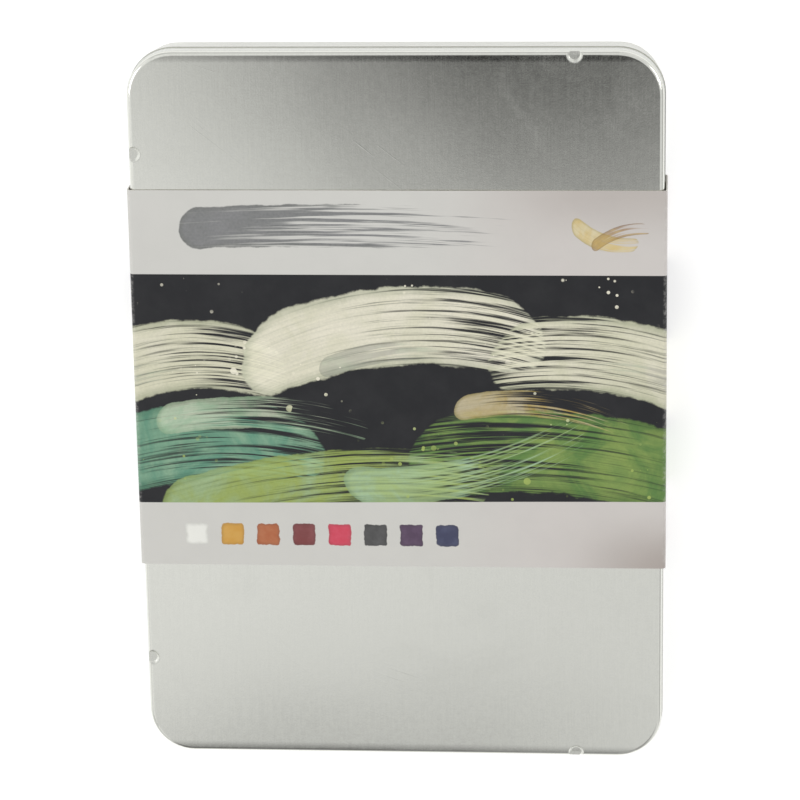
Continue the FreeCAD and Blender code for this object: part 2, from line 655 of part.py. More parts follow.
def sharpener_body():
    """A wedge with hollowed grip sides, a tapered bore, a chip slot and a screw hole."""
    x0 = sharpener_x0
    x1 = x0 + SHARPENER_LENGTH
    y0 = sharpener_y - SHARPENER_WIDTH / 2
    corners = [V(x0, y0, sharpener_floor), V(x1, y0, sharpener_floor),
               V(x1, y0, sharpener_floor + SHARPENER_TIP_HEIGHT),
               V(x0, y0, sharpener_floor + SHARPENER_ENTRY_HEIGHT)]
    body = Part.Face(Part.makePolygon(corners + corners[:1])).extrude(V(0, SHARPENER_WIDTH, 0))
    reach = SHARPENER_WIDTH / 2 + SHARPENER_GRIP_RADIUS - SHARPENER_GRIP_DEPTH
    grips = [Part.makeCylinder(SHARPENER_GRIP_RADIUS, SHARPENER_ENTRY_HEIGHT,
                               V(pan_x, sharpener_y + side * reach, sharpener_floor)) for side in (1, -1)]
    bore_z = sharpener_floor + SHARPENER_BORE_HEIGHT
    bore = Part.makeCone(SHARPENER_BORE_RADIUS, SHARPENER_BORE_TIP_RADIUS, SHARPENER_BORE_LENGTH,
                         V(x0, sharpener_y, bore_z), V(1, 0, 0))
    slot = box(x0 + CHIP_SLOT_WALL, x0 + SHARPENER_BORE_LENGTH, sharpener_y, sharpener_y + CHIP_SLOT_WIDTH,
               bore_z, sharpener_floor + SHARPENER_ENTRY_HEIGHT)
    hole = on_sharpener(Part.makeCylinder(SCREW_RADIUS, SCREW_LENGTH, V(0, screw_y(), -SCREW_LENGTH)))
    return body.cut(grips + [bore, slot, hole])


def sharpener_blade():
    """A flat steel blade on the sloping top, its edge over the chip slot."""
    blade = box(-BLADE_LENGTH / 2, BLADE_LENGTH / 2, BLADE_OVERHANG - BLADE_WIDTH, BLADE_OVERHANG,
                0, BLADE_THICKNESS)
    hole = Part.makeCylinder(SCREW_RADIUS, BLADE_THICKNESS, V(0, screw_y(), 0))
    return on_sharpener(blade.cut(hole))


def sharpener_screw():
    """A slotted screw that clamps the blade."""
    shank = Part.makeCylinder(SCREW_RADIUS, SCREW_LENGTH + BLADE_THICKNESS, V(0, screw_y(), -SCREW_LENGTH))
    head = Part.makeCylinder(SCREW_HEAD_RADIUS, SCREW_HEAD_HEIGHT, V(0, screw_y(), BLADE_THICKNESS))
    head_top = BLADE_THICKNESS + SCREW_HEAD_HEIGHT
    slot = box(-SCREW_HEAD_RADIUS, SCREW_HEAD_RADIUS, screw_y() - SCREW_SLOT_WIDTH / 2,
               screw_y() + SCREW_SLOT_WIDTH / 2, head_top - SCREW_SLOT_DEPTH, head_top)
    return on_sharpener(fused([shank, head.cut(slot)]))


def eraser():
    """The soft grey block of kneaded rubber."""
    z0 = eraser_floor + WRAPPER + WRAPPER_FIT
    block = Part.makeBox(ERASER_WIDTH, ERASER_LENGTH, ERASER_HEIGHT,
                         V(accessory_x - ERASER_WIDTH / 2, eraser_y - ERASER_LENGTH / 2, z0))
    return block.makeFillet(ERASER_CORNER, block.Edges)


def eraser_wrapper():
    """A paper sleeve round the eraser, open at both ends."""
    y0 = eraser_y - wrapped_length / 2

    def tube(width, height, corner):
        outline = rounded_outline(width, height, corner)
        block = Part.Face(outline).extrude(V(0, 0, wrapped_length))
        block.rotate(V(0, 0, 0), V(1, 0, 0), -90)
        block.translate(V(accessory_x, y0, eraser_floor + wrapped_height / 2))
        return block

    outer_corner = ERASER_CORNER + WRAPPER_FIT + WRAPPER
    outer = tube(wrapped_width, wrapped_height, outer_corner)
    inner = tube(wrapped_width - 2 * WRAPPER, wrapped_height - 2 * WRAPPER, outer_corner - WRAPPER)
    return outer.cut(inner)


def staples():
    """Two wire staples across the sandpaper pad: at its outer end and at its inner end."""
    top = paddle_floor + PADDLE_THICKNESS + pad_thickness
    half = STAPLE_CROWN / 2
    made = []
    for y in (paddle_y1 - STAPLE_FROM_PAD_END, paddle_y1 - PAD_LENGTH + STAPLE_FROM_PAD_END):
        crown = box(accessory_x - half, accessory_x + half, y - STAPLE_WIRE / 2, y + STAPLE_WIRE / 2,
                    top, top + STAPLE_WIRE)
        legs = [box(accessory_x + x, accessory_x + x + STAPLE_WIRE, y - STAPLE_WIRE / 2, y + STAPLE_WIRE / 2,
                    top - STAPLE_LEG, top) for x in (-half, half - STAPLE_WIRE)]
        made.append(fused([crown] + legs))
    return made


def sanding_paddle():
    """A flat wooden paddle with a tapered round nose and a hanging hole."""
    z0 = paddle_floor
    half = PADDLE_WIDTH / 2
    nose_y = paddle_y0 + PADDLE_NOSE_RADIUS
    neck_y = paddle_y0 + PADDLE_NOSE_LENGTH
    bulge = half - (half - PADDLE_NOSE_RADIUS) * 0.3
    bulge_y = nose_y + (neck_y - nose_y) * 0.45

    def at(x, y):
        return V(accessory_x + x, y, z0)

    left = Part.Arc(at(-half, neck_y), at(-bulge, bulge_y), at(-PADDLE_NOSE_RADIUS, nose_y))
    nose = Part.Arc(at(-PADDLE_NOSE_RADIUS, nose_y), at(0, paddle_y0), at(PADDLE_NOSE_RADIUS, nose_y))
    right = Part.Arc(at(PADDLE_NOSE_RADIUS, nose_y), at(bulge, bulge_y), at(half, neck_y))
    outline = Part.Wire([
        left.toShape(), nose.toShape(), right.toShape(),
        Part.LineSegment(at(half, neck_y), at(half, paddle_y1)).toShape(),
        Part.LineSegment(at(half, paddle_y1), at(-half, paddle_y1)).toShape(),
        Part.LineSegment(at(-half, paddle_y1), at(-half, neck_y)).toShape()])
    board = Part.Face(outline).extrude(V(0, 0, PADDLE_THICKNESS))
    hole = Part.makeCylinder(PADDLE_HOLE_RADIUS, PADDLE_THICKNESS,
                             V(accessory_x, paddle_y0 + PADDLE_HOLE_FROM_NOSE, z0))
    return board.cut([hole] + staples())


def sandpaper_pad():
    """A glued stack of sandpaper sheets on the square half of the paddle."""
    half = PADDLE_WIDTH / 2
    z0 = paddle_floor + PADDLE_THICKNESS
    stack = box(accessory_x - half, accessory_x + half, paddle_y1 - PAD_LENGTH, paddle_y1,
                z0, z0 + pad_thickness)
    return stack.cut(staples())


def card_sleeve():
    """A printed card band round the closed tin, creased at its four edges."""
    y1 = lid_length / 2 - SLEEVE_FROM_TIP_END
    y0 = SLEEVE_FROM_BLUNT_END - lid_length / 2
    inside_width = lid_width + 2 * (HEM_PROUD + SLEEVE_SIDE_CLEARANCE)
    inside_height = TIN_HEIGHT + SLEEVE_TOP_CLEARANCE

    def band(width, height, corner):
        block = Part.Face(rounded_outline(width, height, corner)).extrude(V(0, 0, y1 - y0))
        block.rotate(V(0, 0, 0), V(1, 0, 0), -90)
        block.translate(V(0, y0, CARD + inside_height / 2))
        return block

    outer = band(inside_width + 2 * CARD, inside_height + 2 * CARD, SLEEVE_CREASE_RADIUS)
    inner = band(inside_width, inside_height, SLEEVE_CREASE_RADIUS - CARD)
    return outer.cut(inner)


def all_pieces():
    """Every piece of the set by its node name."""
    pieces = {
        "tin_base": tin_base(),
        "tin_lid": tin_lid(),
        "insert_tray": insert_tray(),
        "brush_hair": brush_hair(),
        "brush_ferrule": brush_ferrule(),
        "brush_handle": brush_handle(),
        "sharpener_body": sharpener_body(),
        "sharpener_blade": sharpener_blade(),
        "sharpener_screw": sharpener_screw(),
        "kneaded_eraser": eraser(),
        "eraser_wrapper": eraser_wrapper(),
        "sanding_paddle": sanding_paddle(),
        "sandpaper_pad": sandpaper_pad(),
        "card_sleeve": card_sleeve(),
    }
    for name, middle in hinge_middles.items():
        pieces["hinge_pin_" + name] = hinge_pin(middle)
    for name, staple in zip(("outer", "inner"), staples()):
        pieces["pad_staple_" + name] = staple
    for index in range(PENCIL_COUNT):
        pieces[f"pencil_{index + 1}_barrel"] = pencil_barrel(index)
        pieces[f"pencil_{index + 1}_lead"] = pencil_lead(index)
    for index in range(PAN_COUNT):
        pieces[f"paint_pan_{index + 1}"] = half_pan(index)
        pieces[f"paint_cake_{index + 1}"] = paint_cake(index)
    return pieces


def main():
    os.makedirs("parts", exist_ok=True)
    for name, shape in all_pieces().items():
        if not shape.isValid():
            raise ValueError(f"{name} is not a valid solid")
        shape.exportStep(f"parts/{name}.step")
        print(f"{name}: {len(shape.Solids)} solid, {shape.Volume:.1f} mm3")


main()
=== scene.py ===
"""Looks of a watercolour drawing set: a hinged tin in a printed card sleeve, dressed around its solids."""
import json
import math
from functools import reduce

import bpy
import numpy as np
from bpy.props import FloatProperty, FloatVectorProperty, IntProperty, PointerProperty
from mathutils import Matrix, Vector


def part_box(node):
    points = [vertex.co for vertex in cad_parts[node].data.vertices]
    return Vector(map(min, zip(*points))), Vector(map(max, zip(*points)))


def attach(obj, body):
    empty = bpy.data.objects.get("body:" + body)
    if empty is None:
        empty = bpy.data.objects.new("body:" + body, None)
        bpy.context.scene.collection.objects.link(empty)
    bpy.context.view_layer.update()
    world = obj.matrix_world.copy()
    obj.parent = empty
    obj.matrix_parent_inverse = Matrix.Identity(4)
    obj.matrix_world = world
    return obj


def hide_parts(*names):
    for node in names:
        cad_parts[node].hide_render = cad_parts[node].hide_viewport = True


bl_info = {
    "name": "Watercolour Drawing Set",
    "version": (1, 0, 0),
    "blender": (4, 5, 0),
    "location": "View3D > Sidebar > Drawing Set",
    "description": "Dresses a hinged tin of pencils, paints and drawing tools and its card sleeve",
    "category": "Object",
}

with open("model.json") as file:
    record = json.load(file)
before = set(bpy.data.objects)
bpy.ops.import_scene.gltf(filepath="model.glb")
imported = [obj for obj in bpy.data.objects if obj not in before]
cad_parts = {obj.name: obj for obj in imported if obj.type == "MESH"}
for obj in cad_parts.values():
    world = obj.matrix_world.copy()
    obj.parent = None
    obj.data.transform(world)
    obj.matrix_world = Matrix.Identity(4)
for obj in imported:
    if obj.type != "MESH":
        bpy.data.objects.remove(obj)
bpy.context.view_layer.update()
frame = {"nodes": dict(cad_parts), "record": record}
NODES = frame["nodes"]
COLOURS = {material["slot"]: tuple(material["base_color"][:3]) for material in frame["record"]["materials"]}
NUMBERS = range(1, 9)  # of the pencils, and of the pans and cakes
MM = 0.001
WHITE = (1.0, 1.0, 1.0, 1.0)


def linear(colour):
    """A screen colour as linear light, with full alpha."""
    return tuple(c / 12.92 if c <= 0.04045 else ((c + 0.055) / 1.055) ** 2.4 for c in colour) + (1.0,)


def shade(colour, share):
    """A screen colour made darker by a share."""
    return [c * share for c in colour]


# Node trees

class Nodes:
    """Short forms for adding linked nodes to one node tree. A colour of three numbers is a screen colour, one of
    four is linear light."""

    def __init__(self, tree):
        self.tree = tree

    def feed(self, node, key, value):
        socket = node.inputs[key]
        if isinstance(value, bpy.types.NodeSocket):
            self.tree.links.new(value, socket)
        elif socket.type == "RGBA" and len(value) == 3:
            socket.default_value = linear(value)
        else:
            socket.default_value = value

    def fill(self, node, sockets):
        for key, value in sockets.items():
            self.feed(node, key.replace("_", " "), value)
        return node

    def add(self, kind, settings=None, **sockets):
        node = self.tree.nodes.new("ShaderNode" + kind)
        for key, value in (settings or {}).items():
            setattr(node, key, value)
        return self.fill(node, sockets)

    def group(self, name, **sockets):
        return self.fill(self.add("Group", {"node_tree": bpy.data.node_groups[name]}), sockets).outputs

    def operate(self, kind, settings, values, out=0):
        node = self.add(kind, settings)
        for index, value in enumerate(values):
            self.feed(node, index, value)
        return node.outputs[out]

    def math(self, operation, *values, clamp=False):
        return self.operate("Math", {"operation": operation, "use_clamp": clamp}, values)

    def times(self, *values):
        return reduce(lambda first, second: self.math("MULTIPLY", first, second), values)

    def plus(self, *values):
        return reduce(lambda first, second: self.math("ADD", first, second), values)

    def minus(self, *values):
        return reduce(lambda first, second: self.math("SUBTRACT", first, second), values)

    def most(self, *values):
        return reduce(lambda first, second: self.math("MAXIMUM", first, second), values)

    def line(self, value, slope, start):
        """A straight line of a value: start at 0, and slope more at 1."""
        return self.plus(self.times(value, slope), start)

    def vector(self, operation, *values, out="Vector"):
        return self.operate("VectorMath", {"operation": operation}, values, out)

    def scaled(self, vector, amount):
        return self.add("VectorMath", {"operation": "SCALE"}, Vector=vector, Scale=amount).outputs[0]

    def mix(self, factor, first, second, blend="MIX"):
        node = self.add("Mix", {"data_type": "RGBA", "blend_type": blend})
        for index, value in ((0, factor), (6, first), (7, second)):
            self.feed(node, index, value)
        return node.outputs[2]

    def noise(self, vector, scale, detail=3.0, roughness=0.5, distortion=0.0):
        return self.add("TexNoise", Vector=vector, Scale=scale, Detail=detail, Roughness=roughness,
                        Distortion=distortion).outputs["Fac"]

    def streaks(self, vector, scales, detail=2.0, roughness=0.5):
        """Noise with a scale of its own along each axis."""
        return self.noise(self.vector("MULTIPLY", vector, scales), 1.0, detail, roughness)

    def rise(self, value, low, high, bottom=0.0, top=1.0):
        """A smooth step of a value: bottom at low, top at high."""
        return self.add("MapRange", {"interpolation_type": "SMOOTHSTEP"}, Value=value, From_Min=low,
                        From_Max=high, To_Min=bottom, To_Max=top).outputs[0]

    def between(self, value, low, high, soft):
        """1 between two values, with soft edges."""
        return self.times(self.rise(value, low - soft, low + soft), self.rise(value, high + soft, high - soft))

    def split(self, vector):
        return self.add("SeparateXYZ", Vector=vector).outputs

    def join(self, x, y, z):
        return self.add("CombineXYZ", X=x, Y=y, Z=z).outputs[0]

    def place(self, kind="Object"):
        return self.add("TexCoord").outputs[kind]

    def sheet(self):
        return self.add("UVMap", {"uv_map": "sheet"}).outputs[0]

    def bump(self, height, strength, distance, normal=None):
        node = self.add("Bump", Height=height, Strength=strength, Distance=distance)
        if normal is not None:
            self.feed(node, "Normal", normal)
        return node.outputs[0]


class Finish(Nodes):
    """The nodes of a new material, whose Principled shader takes links and constants when it is done."""

    def __init__(self, name):
        self.material = bpy.data.materials.new(name)
        self.material.use_nodes = True
        super().__init__(self.material.node_tree)

    def done(self, **sockets):
        self.fill(self.tree.nodes["Principled BSDF"], sockets)
        return self.material


def satin_grain(n, given):
    """Rolled-metal grain: fine specks and faint rolling lines, wide soft handling marks and a few hair scratches."""
    place = given["Place"]
    specks = n.noise(place, 2100.0, 2.0, 0.6)
    blotches = n.noise(place, 620.0, 3.0, 0.6)
    lines = n.streaks(place, (2600.0, 70.0, 2600.0))
    marks = n.rise(n.noise(place, 34.0, 4.0, 0.62, 0.6), 0.52, 0.74)
    hairs = []
    for angle, seed in ((0.6, 0.3), (-0.9, 0.7), (1.9, 1.3)):
        turned = n.add("VectorRotate", {"rotation_type": "Z_AXIS"}, Vector=place, Angle=angle).outputs[0]
        patch = n.rise(n.noise(n.vector("ADD", turned, (seed, seed, seed)), 22.0, 2.0), 0.6, 0.7)
        hairs.append(n.times(n.rise(n.streaks(turned, (1500.0, 22.0, 40.0), 1.0), 0.69, 0.74), patch))
    return {"Grain": n.plus(n.times(specks, 0.45), n.times(blotches, 0.3), n.times(lines, 0.25)),
            "Marks": n.times(marks, given["Handling"]), "Scratches": n.most(*hairs)}


def paper_fibre(n, given):
    """Short crossed fibres and slow mottling of paper or card."""
    place = given["Place"]
    along = n.streaks(place, (420.0, 2600.0, 420.0), 3.0, 0.6)
    across = n.streaks(place, (2600.0, 420.0, 2600.0), 3.0, 0.6)
    return {"Fibre": n.times(n.plus(along, across), 0.5), "Mottle": n.noise(place, 90.0, 4.0, 0.6)}


def wash_stroke(n, given):
    """A painted stroke: an arched line whose edge wanders, whose paint pools at its rim and whose bristles leave
    dry streaks towards its end. Distance from the line over the half width gives its share of the way out."""
    straight = n.vector("SUBTRACT", given["Place"], given["Start"])
    line = n.vector("SUBTRACT", given["End"], given["Start"])
    length = n.vector("LENGTH", line, out="Value")
    run = n.math("DIVIDE", n.vector("DOT_PRODUCT", straight, line, out="Value"), n.times(length, length))
    along = n.most(n.math("MINIMUM", run, 1.0), 0.0)
    lx, ly, _ = n.split(line)
    across = n.vector("NORMALIZE", n.join(n.times(ly, -1.0), lx, 0.0))
    arch = n.times(run, n.minus(1.0, run), 4.0, given["Bend"])
    point = n.vector("SUBTRACT", straight, n.scaled(across, arch))
    distance = n.vector("DISTANCE", point, n.scaled(line, along), out="Value")
    side = n.vector("DOT_PRODUCT", point, across, out="Value")
    shifted = n.vector("ADD", given["Place"], n.join(given["Seed"], given["Seed"], 0.0))
    wander = n.minus(n.noise(shifted, 110.0, 5.0, 0.62), 0.5)
    share = n.plus(n.math("DIVIDE", distance, given["Half Width"]), n.times(wander, 0.34))
    streaks = n.noise(n.join(n.times(run, length, 24.0), n.times(side, 980.0), given["Seed"]), 1.0, 3.0, 0.65)
    dry = n.times(n.line(along, 0.85, 0.15), given["Dryness"])
    bare = n.rise(n.plus(streaks, n.times(dry, 0.42)), 0.62, 0.76)
    bare = n.times(bare, n.rise(dry, 0.0, 0.4))
    pooled = n.times(n.rise(share, 0.66, 0.97), 0.5)
    bloom = n.times(n.rise(n.noise(shifted, 60.0, 4.0, 0.65, 0.8), 0.36, 0.66), 0.6)
    bristles = n.times(n.rise(streaks, 0.35, 0.7), 0.22)
    speckle = n.times(n.noise(given["Place"], 1300.0, 2.0), 0.2)
    deep = n.mix(1.0, given["Colour"], (0.42, 0.48, 0.40, 1.0), "MULTIPLY")
    paint = n.mix(bloom, given["Colour"], given["Bloom"])
    paint = n.mix(n.math("ADD", pooled, bristles, clamp=True), paint, deep)
    cover = n.times(n.rise(share, 1.0, 0.93), n.minus(1.0, bare), given["Strength"])
    cover = n.math("SUBTRACT", cover, n.times(cover, speckle), clamp=True)
    return {"Colour": n.mix(cover, given["Under"], paint)}


def paint_spatter(n, given):
    """Flicked drops of paint: round cells of two sizes, kept only where a slow noise allows them."""
    place = given["Place"]
    drops = []
    for scale, size in ((190.0, 0.20), (430.0, 0.24)):
        cell = n.add("TexVoronoi", Vector=place, Scale=scale)
        chance = n.split(cell.outputs["Color"])[0]
        radius = n.times(n.rise(chance, 0.55, 1.0), size)
        drop = n.rise(n.minus(cell.outputs["Distance"], radius), 0.02, -0.02)
        drops.append(n.times(drop, n.rise(chance, 0.55, 0.6)))
    return {"Drops": n.times(n.most(*drops), n.rise(n.noise(place, 38.0, 3.0), 0.50, 0.62))}


def wood_grain(n, given):
    """Long grain along Y: stretched rings, pores and a slow change of tone."""
    place = given["Place"]
    bent = n.vector("ADD", place, n.scaled(n.add("TexNoise", Vector=place, Scale=30.0).outputs["Color"], 0.004))
    rings = n.streaks(bent, (520.0, 14.0, 520.0), 4.0, 0.6)
    pores = n.rise(n.streaks(place, (3200.0, 120.0, 3200.0)), 0.6, 0.72)
    tone = n.mix(n.rise(rings, 0.3, 0.7), given["Light"], given["Dark"])
    tone = n.mix(n.times(pores, 0.5), tone, n.mix(1.0, tone, (0.55, 0.45, 0.35, 1.0), "MULTIPLY"))
    return {"Colour": tone, "Height": n.minus(n.times(rings, 0.5), n.times(pores, 0.5))}


# Shared effects: the function that fills the group, its inputs and its outputs, by kind of socket
EFFECTS = [
    (satin_grain, {"Vector": ["Place"], "Float": ["Handling"]}, {"Float": ["Grain", "Marks", "Scratches"]}),
    (paper_fibre, {"Vector": ["Place"]}, {"Float": ["Fibre", "Mottle"]}),
    (wash_stroke, {"Vector": ["Place", "Start", "End"], "Color": ["Colour", "Bloom", "Under"],
                   "Float": ["Half Width", "Strength", "Dryness", "Seed", "Bend"]}, {"Color": ["Colour"]}),
    (paint_spatter, {"Vector": ["Place"]}, {"Float": ["Drops"]}),
    (wood_grain, {"Vector": ["Place"], "Color": ["Light", "Dark"]}, {"Color": ["Colour"], "Float": ["Height"]}),
]


def make_groups():
    """A shader node group for every shared effect, named for the function that fills it."""
    for fill, *sockets in EFFECTS:
        tree = bpy.data.node_groups.new(fill.__name__, "ShaderNodeTree")
        for direction, kinds in zip(("INPUT", "OUTPUT"), sockets):
            for kind, labels in kinds.items():
                for label in labels:
                    tree.interface.new_socket(label, in_out=direction, socket_type="NodeSocket" + kind)
        given = tree.nodes.new("NodeGroupInput").outputs
        taken = tree.nodes.new("NodeGroupOutput").inputs
        for label, socket in fill(Nodes(tree), given).items():
            tree.links.new(socket, taken[label])


def dress(material, *nodes):
    """Gives solids of the frame their finish."""
    for node in nodes:
        slots = NODES[node].material_slots
        if not slots:
            NODES[node].data.materials.append(material)
        for slot in slots:
            slot.material = material


def node_box(node):
    """The lowest and highest corner of a solid, as arrays."""
    return [np.array(corner, dtype=float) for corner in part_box(node)]


# Finishes

STOPS = ((-0.0749, 0.0763, 0.0), (0.0508, 0.1049, 0.0))  # two of the lid's stops; the others mirror them in Y
ROLL_START = 0.1027  # where the sheet begins to roll off, along Y
ROLL_WIDTH = 0.002
ROLL_DEPTH = 0.00004


def pressed_stops(n, place):
    """A mask of the lid's four pressed stops, which the tool left duller than the sheet round them."""
    x, y, z = n.split(place)
    folded = n.join(x, n.math("ABSOLUTE", y), 0.0)
    near = [n.vector("DISTANCE", folded, stop, out="Value") for stop in STOPS]
    return n.times(n.rise(n.math("MINIMUM", *near), 0.0027, 0.0022), n.rise(z, 0.0182, 0.0188))


def tinplate(name, colour, roughness):
    """Bare satin tinplate: rolled grain, faint handling marks and scratches, a slightly wavy sheet that rolls off
    a little before its short edges, and drawn sides that are rougher than the flat of the sheet and carry painted
    shade in their colour."""
    n = Finish(name)
    place = n.place()
    grain = n.group("satin_grain", Place=place, Handling=1.0)
    # mask of the sides by their normal: it makes them rougher, and below it also paints shade into their colour
    drawn = n.rise(n.math("ABSOLUTE", n.split(n.place("Normal"))[2]), 0.75, 0.15)
    tone = n.mix(n.rise(grain["Grain"], 0.38, 0.62), shade(colour, 0.975), colour)
    # painted shade: the sides' colour is darkened to stand in for the greyer surroundings they reflect
    tone = n.mix(drawn, tone, shade(colour, 0.86))
    out = n.minus(n.math("ABSOLUTE", n.split(place)[1]), ROLL_START)
    roll = n.math("MULTIPLY", out, 1.0 / ROLL_WIDTH, clamp=True)
    worked = n.most(drawn, pressed_stops(n, place), n.times(roll, 0.2))
    rough = n.line(n.minus(grain["Grain"], 0.5), 0.15, roughness)
    rough = n.plus(rough, n.times(grain["Marks"], 0.03))
    rough = n.math("ADD", rough, n.times(worked, 0.14), clamp=True)
    normal = n.bump(n.noise(place, 16.0, 1.0), 0.12, 0.0012)
    normal = n.bump(n.minus(1.0, n.math("POWER", roll, 2.0)), 1.0, ROLL_DEPTH, normal)
    normal = n.bump(grain["Scratches"], 0.06, 0.00004, normal)
    return n.done(Base_Color=tone, Roughness=rough, Metallic=1.0,
                  Normal=n.bump(grain["Grain"], 0.08, 0.00006, normal))


def painted(n, place, under, strokes):
    """Lays a list of strokes over a ground colour."""
    for start, end, half, bend, colour, bloom, strength, dry, seed in strokes:
        under = n.group("wash_stroke", Place=place, Start=(start[0] * MM, start[1] * MM, 0.0),
                        End=(end[0] * MM, end[1] * MM, 0.0), Half_Width=half * MM, Bend=bend * MM, Colour=colour,
                        Bloom=bloom, Under=under, Strength=strength, Dryness=dry, Seed=seed)[0]
    return under


def swatch_row(n, place, under, settings):
    """A row of hand-painted squares in the colours of the cores, each with an uneven edge and paint pooled at its
    rim."""
    s, y, _ = n.split(place)
    wander = n.times(n.minus(n.noise(place, 420.0, 3.0), 0.5), 0.0012)
    dy = n.math("ABSOLUTE", n.minus(y, settings.swatch_height))
    half = settings.swatch_half
    bloom = n.rise(n.noise(place, 260.0, 3.0), 0.35, 0.7, 0.0, 0.35)
    for number in NUMBERS:
        colour = COLOURS[f"lead_{number}"]
        dx = n.math("ABSOLUTE", n.minus(s, settings.swatch_first + (number - 1) * settings.swatch_pitch))
        reach = n.plus(n.math("SMOOTH_MAX", dx, dy, 0.0015), wander)
        rim = n.rise(reach, half - 0.0012, half, 0.0, 0.5)
        wash = n.mix(bloom, colour, [0.75 * c + 0.25 for c in colour])
        wash = n.mix(rim, wash, n.mix(1.0, colour, (0.5, 0.5, 0.5, 1.0), "MULTIPLY"))
        under = n.mix(n.rise(reach, half, half - 0.00025, 0.0, 0.93), under, wash)
    return under


def printed_card(settings):
    """The sleeve's printed side: pale strips with painted shade towards the hinge, a dark panel, loose painted
    strokes, and worn creases."""
    n = Finish("printed_card")
    uv = n.sheet()
    s, y, _ = n.split(uv)
    fibre = n.group("paper_fibre", Place=uv)
    pale = n.mix(n.rise(y, -0.05, 0.07), settings.pale_lower, settings.pale_upper)
    # painted shade: a slightly darker, rosy band over the pale strips towards the hinge
    pale = n.mix(n.times(n.between(s, 0.025, 0.125, 0.025), 0.6), pale, ROSY_SHADED_CARD)
    # painted shade: the strips darken towards the hinge, at the top of the upper strip and the foot of the lower one,
    # fading out before the underside
    upper = n.times(n.rise(s, 0.010, 0.060), n.rise(y, 0.048, 0.067, 0.0, 0.55))
    lower = n.times(n.rise(s, 0.040, 0.080), n.rise(y, -0.027, -0.047))
    painted_shade = n.times(n.most(upper, lower), n.rise(s, 0.150, 0.100))
    colour = n.mix(painted_shade, pale, SHADED_CARD)
    colour = swatch_row(n, uv, painted(n, uv, colour, HEADER_STROKES), settings)
    panel = painted(n, uv, settings.panel, PANEL_STROKES)
    drops = n.group("paint_spatter", Place=uv)["Drops"]
    panel = n.mix(n.times(drops, 0.8), panel, n.mix(n.rise(y, -0.012, 0.012), LIME, WARM))
    # the panel's edges, of which the lower one leans
    lean = n.times(n.math("SINE", n.times(s, 18.0)),
                   n.rise(y, settings.panel_top, settings.panel_bottom, 0.0, settings.panel_skew))
    in_panel = n.between(n.minus(y, lean), settings.panel_bottom, settings.panel_top, 0.00008)
    colour = n.mix(in_panel, colour, panel)
    crease = n.between(n.math("ABSOLUTE", s), 0.0760, 0.0771, 0.0004)
    worn = n.times(crease, n.rise(n.noise(uv, 700.0, 4.0, 0.65), 0.42, 0.66, 0.0, 0.25))
    colour = n.mix(worn, colour, BARE_CARD)
    colour = n.mix(n.times(n.rise(fibre["Mottle"], 0.35, 0.75), 0.04), colour, (0.2, 0.2, 0.2, 1.0))
    normal = n.bump(n.streaks(uv, (20.0, 34.0, 1.0)), 0.25, 0.0012)
    return n.done(Base_Color=colour, Roughness=n.line(fibre["Fibre"], 0.12, 0.30),
                  Normal=n.bump(fibre["Fibre"], 0.06, 0.00004, normal),
                  Specular_IOR_Level=0.36, Coat_Weight=0.15, Coat_Roughness=0.25)


def paper(name, colour):
    """Uncoated paper or card with its fibres."""
    n = Finish(name)
    fibre = n.group("paper_fibre", Place=n.place())
    tone = n.mix(n.rise(fibre["Mottle"], 0.3, 0.7), colour, shade(colour, 0.94))
    return n.done(Base_Color=tone, Roughness=n.line(fibre["Fibre"], 0.15, 0.72),
                  Normal=n.bump(fibre["Fibre"], 0.2, 0.00006))


def moulded_plastic(name, colour, roughness):
    """Moulded plastic with a fine skin and a few duller patches."""
    n = Finish(name)
    place = n.place()
    patches = n.noise(place, 45.0, 3.0, 0.6)
    tone = n.mix(n.rise(patches, 0.35, 0.7), colour, [c * 0.93 + 0.004 for c in colour])
    return n.done(Base_Color=tone, Roughness=n.line(patches, 0.12, roughness - 0.06),
                  Normal=n.bump(n.noise(place, 900.0, 2.0), 0.15, 0.00003))


def formed_plastic():
    """Black formed sheet: a fine pebbled skin, soft flow marks and specks of pale dust."""
    n = Finish("black_formed_sheet")
    place = n.place()
    flow = n.streaks(place, (50.0, 18.0, 50.0), 4.0, 0.6)
    dust = n.rise(n.noise(place, 3000.0, 2.0), 0.70, 0.78, 0.0, 0.3)
    tone = n.mix(n.rise(flow, 0.3, 0.7), (0.095, 0.095, 0.10), (0.125, 0.125, 0.128))
    tone = n.mix(dust, tone, (0.5, 0.5, 0.49))
    return n.done(Base_Color=tone, Roughness=n.line(flow, 0.16, 0.26),
                  Normal=n.bump(n.noise(place, 1400.0, 2.0, 0.55), 0.16, 0.00006))


def metal(name, colour, roughness, scales):
    """Worked metal with fine lines, which lie along the axes whose scales are small."""
    n = Finish(name)
    place = n.place()
    lines = n.streaks(place, scales, 3.0, 0.6)
    marks = n.group("satin_grain", Place=place, Handling=0.6)["Marks"]
    return n.done(Base_Color=n.mix(lines, shade(colour, 0.86), colour), Metallic=1.0,
                  Roughness=n.line(n.plus(lines, marks), 0.18, roughness - 0.08), Normal=n.bump(lines, 0.2, 0.00005))


def grained_wood(name, light, dark, roughness, coat):
    """Wood with its grain, under a clear coat or none."""
    n = Finish(name)
    grain = n.group("wood_grain", Place=n.place(), Light=light, Dark=dark)
    return n.done(Base_Color=grain["Colour"], Normal=n.bump(grain["Height"], 0.25, 0.00008),
                  Roughness=roughness, Coat_Weight=coat, Coat_Roughness=0.12)


